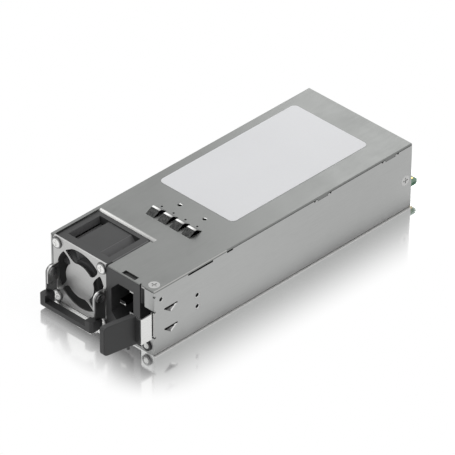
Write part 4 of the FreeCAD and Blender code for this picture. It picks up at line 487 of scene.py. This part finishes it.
FINISH = {
    CASE: ("chassis", "rear_panel"),
    COVER: ("top_cover",),
    GRILLE: ("fan_grille",),
    ARM: ("handle_arms",),
    LATCH: ("latch_leaf", "latch_spring_foot"),
    RIVET: ("handle_rivets", "latch_rivets", "fan_shaft", "fan_bearings"),
    SCREW: ("cover_screw", "side_screws", "board_screws"),
    BRIGHT_SCREW: ("fan_screws",),
    ALUMINIUM: ("primary_heatsink",),
    FAN: ("fan_frame",),
    IMPELLER: ("fan_impeller",),
    INLET: ("inlet_housing",),
    GRIP: ("handle_grip",),
    TAB: ("latch_tab",),
    BEZEL: ("indicator_bezel",),
    LENS: ("light_pipe", "status_led"),
    SLEEVE: ("bulk_capacitor", "output_capacitors"),
    FILM_CAP: ("film_capacitor",),
    LABEL: ("label",),
    INSULATOR: ("insulation_sheet",),
    BOARD: ("main_board", "inlet_terminal_board", "control_board"),
    GOLD: ("card_edge_contacts",),
    PIN: ("line_pin", "neutral_pin"),
    EARTH: ("earth_pin",),
    BRASS: ("board_standoffs", "output_bus_bars"),
    FERRITE: ("pfc_choke", "mains_filter_choke", "transformer_core", "rotor_magnet_ring"),
    CERAMIC: ("mains_fuse",),
    COPPER: ("transformer_windings", "fan_stator"),
}
for material, names in FINISH.items():
    for name in names:
        slots = nodes[name].data.materials
        slots.clear()
        slots.append(material)


# Broken edges, so that sheet and moulded edges catch the light

EDGE_RADIUS = {
    "top_cover": 0.12, "chassis": 0.15, "fan_grille": 0.12, "handle_arms": 0.12,
    "latch_leaf": 0.1, "inlet_housing": 0.2, "fan_frame": 0.2, "handle_grip": 0.35,
    "latch_tab": 0.3, "indicator_bezel": 0.15, "main_board": 0.1, "rear_panel": 0.1,
    "line_pin": 0.15, "neutral_pin": 0.15, "earth_pin": 0.15, "handle_rivets": 0.2,
    "fan_screws": 0.15, "cover_screw": 0.1, "side_screws": 0.1,
}
EDGE_ANGLE = 40
for name, radius in EDGE_RADIUS.items():
    bevel = nodes[name].modifiers.new("broken_edges", "BEVEL")
    bevel.width = radius * MM
    bevel.segments = 2
    bevel.limit_method = "ANGLE"
    bevel.angle_limit = math.radians(EDGE_ANGLE)
    bevel.harden_normals = False


# Small forms beside the imported pieces

def join_rings(form, first, second, smooth=False):
    """A closed band of faces between two rings of as many points."""
    for step in range(len(first)):
        after = (step + 1) % len(first)
        face = form.faces.new((first[step], second[step], second[after], first[after]))
        face.smooth = smooth


def keep_piece(name, form, material):
    """Keep a finished form as a piece that rides on the case."""
    bmesh.ops.recalc_face_normals(form, faces=form.faces)
    mesh = bpy.data.meshes.new(name)
    form.to_mesh(mesh)
    form.free()
    mesh.materials.append(material)
    piece = bpy.data.objects.new(name, mesh)
    bpy.context.scene.collection.objects.link(piece)
    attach(piece, "case")


# Rolled inner lips of the punched holes and of the hollow rivets

LIP_STEPS, LIP_SHELL = 32, 0.12


def make_flare(name, centre, outer, inner, depth, turn):
    """A short funnel whose wide end is flush with the sheet; turn takes z to the way out."""
    form = bmesh.new()
    rings = []
    for radius, level in ((outer, -0.02), (inner, -depth),
                          (inner + LIP_SHELL, -depth - LIP_SHELL), (outer, -depth * 0.7)):
        ring = []
        for step in range(LIP_STEPS):
            angle = step * math.tau / LIP_STEPS
            point = turn @ Vector((radius * math.cos(angle), radius * math.sin(angle), level))
            ring.append(form.verts.new(at(*centre) + point * MM))
        rings.append(ring)
    for first, second in zip(rings, rings[1:] + rings[:1]):
        join_rings(form, first, second, smooth=True)
    keep_piece(name, form, FLARE)


UPRIGHT = Matrix.Identity(3)
SIDEWAYS = Matrix.Rotation(math.radians(90), 3, "Y")
for side, x in (("left", 28.6), ("right", 46.3)):
    make_flare("collar_lip_" + side, (x, 62.5, CASE_HEIGHT), 1.23, 0.95, 0.55,
               UPRIGHT)
for side, z in (("upper", 22.2), ("lower", 15.4)):
    make_flare("rivet_lip_" + side, (CASE_WIDTH, 30.0, z), 1.28, 1.08, 0.35,
               SIDEWAYS)
make_flare("pilot_lip", (CASE_WIDTH, 4.8, 32.2), 1.28, 1.1, 0.32, SIDEWAYS)


# Webs that round the grille's spokes into its disc and its rim: radius and half width

WEB = ((9.6, 2.2), (10.2, 1.7), (10.9, 1.25), (11.8, 0.9), (12.8, 0.72), (13.8, 0.66),
       (15.6, 0.66), (16.6, 0.78), (17.3, 1.05), (17.9, 1.6), (18.4, 2.3))
WEB_FRONT, WEB_REAR = -0.015, 0.5
SPOKE_ROOT, SPOKE_TIP = 8.7, 18.65
SPOKE_ROOT_ANGLE, SPOKE_SWEEP = 29, 11


def make_web(name, quarter):
    form = bmesh.new()
    edges = {-1: [], 1: []}
    for radius, half in WEB:
        along = (radius - SPOKE_ROOT) / (SPOKE_TIP - SPOKE_ROOT)
        angle = math.radians(90 * quarter + SPOKE_ROOT_ANGLE + SPOKE_SWEEP * along)
        out = Vector((math.cos(angle), math.sin(angle)))
        aside = Vector((-out.y, out.x))
        for sign, points in edges.items():
            points.append(out * radius + aside * half * sign)
    outline = edges[-1] + edges[1][::-1]
    front, rear = [[form.verts.new(at(FAN_X + p.x, y, FAN_Z + p.y)) for p in outline]
                   for y in (WEB_FRONT, WEB_REAR)]
    for ring in (front, rear):
        for index in range(len(WEB) - 1):
            form.faces.new((ring[index], ring[index + 1], ring[-2 - index], ring[-1 - index]))
    join_rings(form, front, rear)
    keep_piece(name, form, GRILLE)


for quarter, name in enumerate(("upper_right", "upper_left", "lower_left", "lower_right")):
    make_web("grille_web_" + name, quarter)


# Wider rim of the grille's opening towards its lower left, between two round outlines

RIM_OUTER, RIM_INNER, RIM_CENTRE = 18.5, 17.1, Vector((0.8, 1.0))
RIM_FRONT, RIM_REAR = -0.02, 0.6
RIM_LEAST = 0.3
RIM_ANGLES = range(110, 351, 4)


def make_rim():
    form = bmesh.new()
    rings = []
    for degrees in RIM_ANGLES:
        angle = math.radians(degrees)
        out = Vector((math.cos(angle), math.sin(angle)))
        along = out.dot(RIM_CENTRE)
        aside = RIM_CENTRE.length_squared - along * along
        inner = along + math.sqrt(RIM_INNER ** 2 - aside)
        if inner > RIM_OUTER - RIM_LEAST:
            continue
        corners = ((RIM_OUTER, RIM_FRONT), (inner, RIM_FRONT),
                   (inner, RIM_REAR), (RIM_OUTER, RIM_REAR))
        rings.append([form.verts.new(at(FAN_X + out.x * radius, y, FAN_Z + out.y * radius))
                      for radius, y in corners])
    for first, second in zip(rings, rings[1:]):
        join_rings(form, first, second)
    for end in (rings[0], rings[-1]):
        form.faces.new(end)
    keep_piece("grille_rim", form, GRILLE)


make_rim()


# Plastic cheek between the inlet's frame and the upper front flange, an upright prism

CHEEK = ((63.45, 0.5), (64.2, 0.5), (66.5, 2.9), (66.5, 3.7), (65.9, 3.7), (63.45, 1.5))
CHEEK_LEVELS = (27.3, 36.7)
CHEEK_EDGE = 0.12


def make_cheek():
    form = bmesh.new()
    low_ring, high_ring = [[form.verts.new(at(x, y, z)) for x, y in CHEEK] for z in CHEEK_LEVELS]
    for ring in (low_ring, high_ring):
        form.faces.new(ring)
    join_rings(form, low_ring, high_ring)
    bmesh.ops.recalc_face_normals(form, faces=form.faces)
    bmesh.ops.bevel(form, geom=form.edges[:], offset=CHEEK_EDGE * MM, segments=2, affect="EDGES")
    keep_piece("inlet_cheek", form, INLET)


make_cheek()


# Stage: the floor's reflection and shadow fade to white away from the case's footprint

FOOTPRINT = (CASE_WIDTH / 2 * MM, CASE_LENGTH / 2 * MM, 1.0)
MATT_MIRRORED, MATT_SEEN = 0.62, 0.98
GLOSS_MIRRORED, GLOSS_SEEN = 0.3, 0.9
FADE_MIRRORED, FADE_SEEN = 0.012, 0.038


def camera_or_mirror(tree, rays):
    """1 for what the camera sees, straight or in a reflection, and 0 for other light."""
    sockets = {0: rays["Is Camera Ray"], 1: rays["Is Glossy Ray"]}
    return add_node(tree, "ShaderNodeMath", sockets, "MAXIMUM").outputs["Value"]


def floor_material():
    """Matt and glossy near the case, and plain white where it is seen away from it."""
    material = bpy.data.materials.new("studio_floor")
    material.use_nodes = True
    tree = material.node_tree
    tree.nodes.clear()
    rays = tree.nodes.new("ShaderNodeLightPath").outputs

    def by_camera(others, seen):
        sockets = {"Value": rays["Is Camera Ray"], "To Min": others, "To Max": seen}
        return add_node(tree, "ShaderNodeMapRange", sockets).outputs["Result"]

    def vector_step(operation, *values):
        return add_node(tree, "ShaderNodeVectorMath", dict(enumerate(values)), operation).outputs

    def mixed(factor, first, second):
        sockets = {"Fac": factor, 1: first.outputs[0], 2: second.outputs[0]}
        return add_node(tree, "ShaderNodeMixShader", sockets)

    matt = add_node(tree, "ShaderNodeBsdfDiffuse",
                    {"Color": by_camera(MATT_MIRRORED, MATT_SEEN)})
    gloss = add_node(tree, "ShaderNodeBsdfGlossy", {"Color": (1, 1, 1, 1), "Roughness": 0.12})
    surface = mixed(by_camera(GLOSS_MIRRORED, GLOSS_SEEN), matt, gloss)
    white = add_node(tree, "ShaderNodeEmission", {})

    coords = tree.nodes.new("ShaderNodeTexCoord").outputs["Object"]
    beyond = vector_step("SUBTRACT", vector_step("ABSOLUTE", coords)[0], FOOTPRINT)[0]
    away = vector_step("LENGTH", vector_step("MAXIMUM", beyond, (0, 0, 0))[0])["Value"]
    fade = add_node(tree, "ShaderNodeMapRange",
                    {"Value": away, "From Max": by_camera(FADE_MIRRORED, FADE_SEEN)})
    fade.interpolation_type = "SMOOTHSTEP"
    sockets = {0: camera_or_mirror(tree, rays), 1: fade.outputs["Result"]}
    share = add_node(tree, "ShaderNodeMath", sockets, "MULTIPLY").outputs["Value"]
    final = mixed(share, surface, white)
    add_node(tree, "ShaderNodeOutputMaterial", {"Surface": final.outputs[0]})
    return material


def make_floor():
    mesh = bpy.data.meshes.new("floor")
    form = bmesh.new()
    bmesh.ops.create_grid(form, x_segments=1, y_segments=1, size=3.0)
    form.to_mesh(mesh)
    form.free()
    mesh.materials.append(floor_material())
    floor = bpy.data.objects.new("floor", mesh)
    floor.location.z = -0.0001
    bpy.context.scene.collection.objects.link(floor)
    return floor


make_floor()

WORLD_LIGHT, WORLD_SEEN = 0.55, 1.0


def make_world():
    """A white room, a little dimmer as a light than as it is seen."""
    world = bpy.data.worlds.new("studio")
    bpy.context.scene.world = world
    world.use_nodes = True
    tree = world.node_tree
    back = tree.nodes["Background"]
    back.inputs["Color"].default_value = (1, 1, 1, 1)
    rays = tree.nodes.new("ShaderNodeLightPath").outputs
    sockets = {"Value": camera_or_mirror(tree, rays), "To Min": WORLD_LIGHT, "To Max": WORLD_SEEN}
    strength = add_node(tree, "ShaderNodeMapRange", sockets).outputs["Result"]
    tree.links.new(strength, back.inputs["Strength"])


make_world()


def area_light(name, place, aim, size, power):
    light = bpy.data.lights.new(name, "AREA")
    light.shape = "RECTANGLE"
    light.size, light.size_y = size
    light.energy = power
    lamp = bpy.data.objects.new(name, light)
    lamp.location = place
    lamp.rotation_mode = "QUATERNION"
    lamp.rotation_quaternion = (Vector(aim) - Vector(place)).to_track_quat("-Z", "Y")
    bpy.context.scene.collection.objects.link(lamp)


area_light("key", (-0.35, -0.15, 0.95), (0, 0, 0.02), (0.9, 0.9), 3.6)
area_light("front_fill", (-0.25, -0.9, 0.4), (0, 0, 0.02), (0.6, 0.4), 1.2)
area_light("rear_card", (-0.20, 0.32, 0.25), (0, 0.09, 0.04), (0.16, 0.16), 0.18)


# Camera at the photograph's place: angles in degrees, lengths in mm, focal length in pixels

CAMERA_AZIMUTH, CAMERA_ELEVATION = 44.79338, 34.73734
CAMERA_DISTANCE, CAMERA_ACROSS, CAMERA_UP = 2962.508, -62.19994, -49.19967
CAMERA_FOCAL, PHOTO_WIDTH = 5929.14, 455
SENSOR_WIDTH = 36.0


def make_camera():
    azimuth, elevation = math.radians(CAMERA_AZIMUTH), math.radians(CAMERA_ELEVATION)
    right = Vector((math.cos(azimuth), math.sin(azimuth), 0))
    back = Vector((math.sin(azimuth) * math.cos(elevation),
                   -math.cos(azimuth) * math.cos(elevation), math.sin(elevation)))
    up = back.cross(right)
    shift = back * CAMERA_DISTANCE - right * CAMERA_ACROSS - up * CAMERA_UP
    place = at(CASE_WIDTH / 2, 0, 0) + shift * MM
    data = bpy.data.cameras.new("camera")
    data.sensor_width = SENSOR_WIDTH
    data.lens = CAMERA_FOCAL / PHOTO_WIDTH * SENSOR_WIDTH
    data.clip_start, data.clip_end = 0.5, 20.0
    turn = Matrix((right, up, back)).transposed().to_4x4()
    camera = bpy.data.objects.new("camera", data)
    camera.matrix_world = Matrix.Translation(place) @ turn
    bpy.context.scene.collection.objects.link(camera)
    bpy.context.scene.camera = camera


make_camera()
bpy.context.scene.view_settings.view_transform = "Standard"
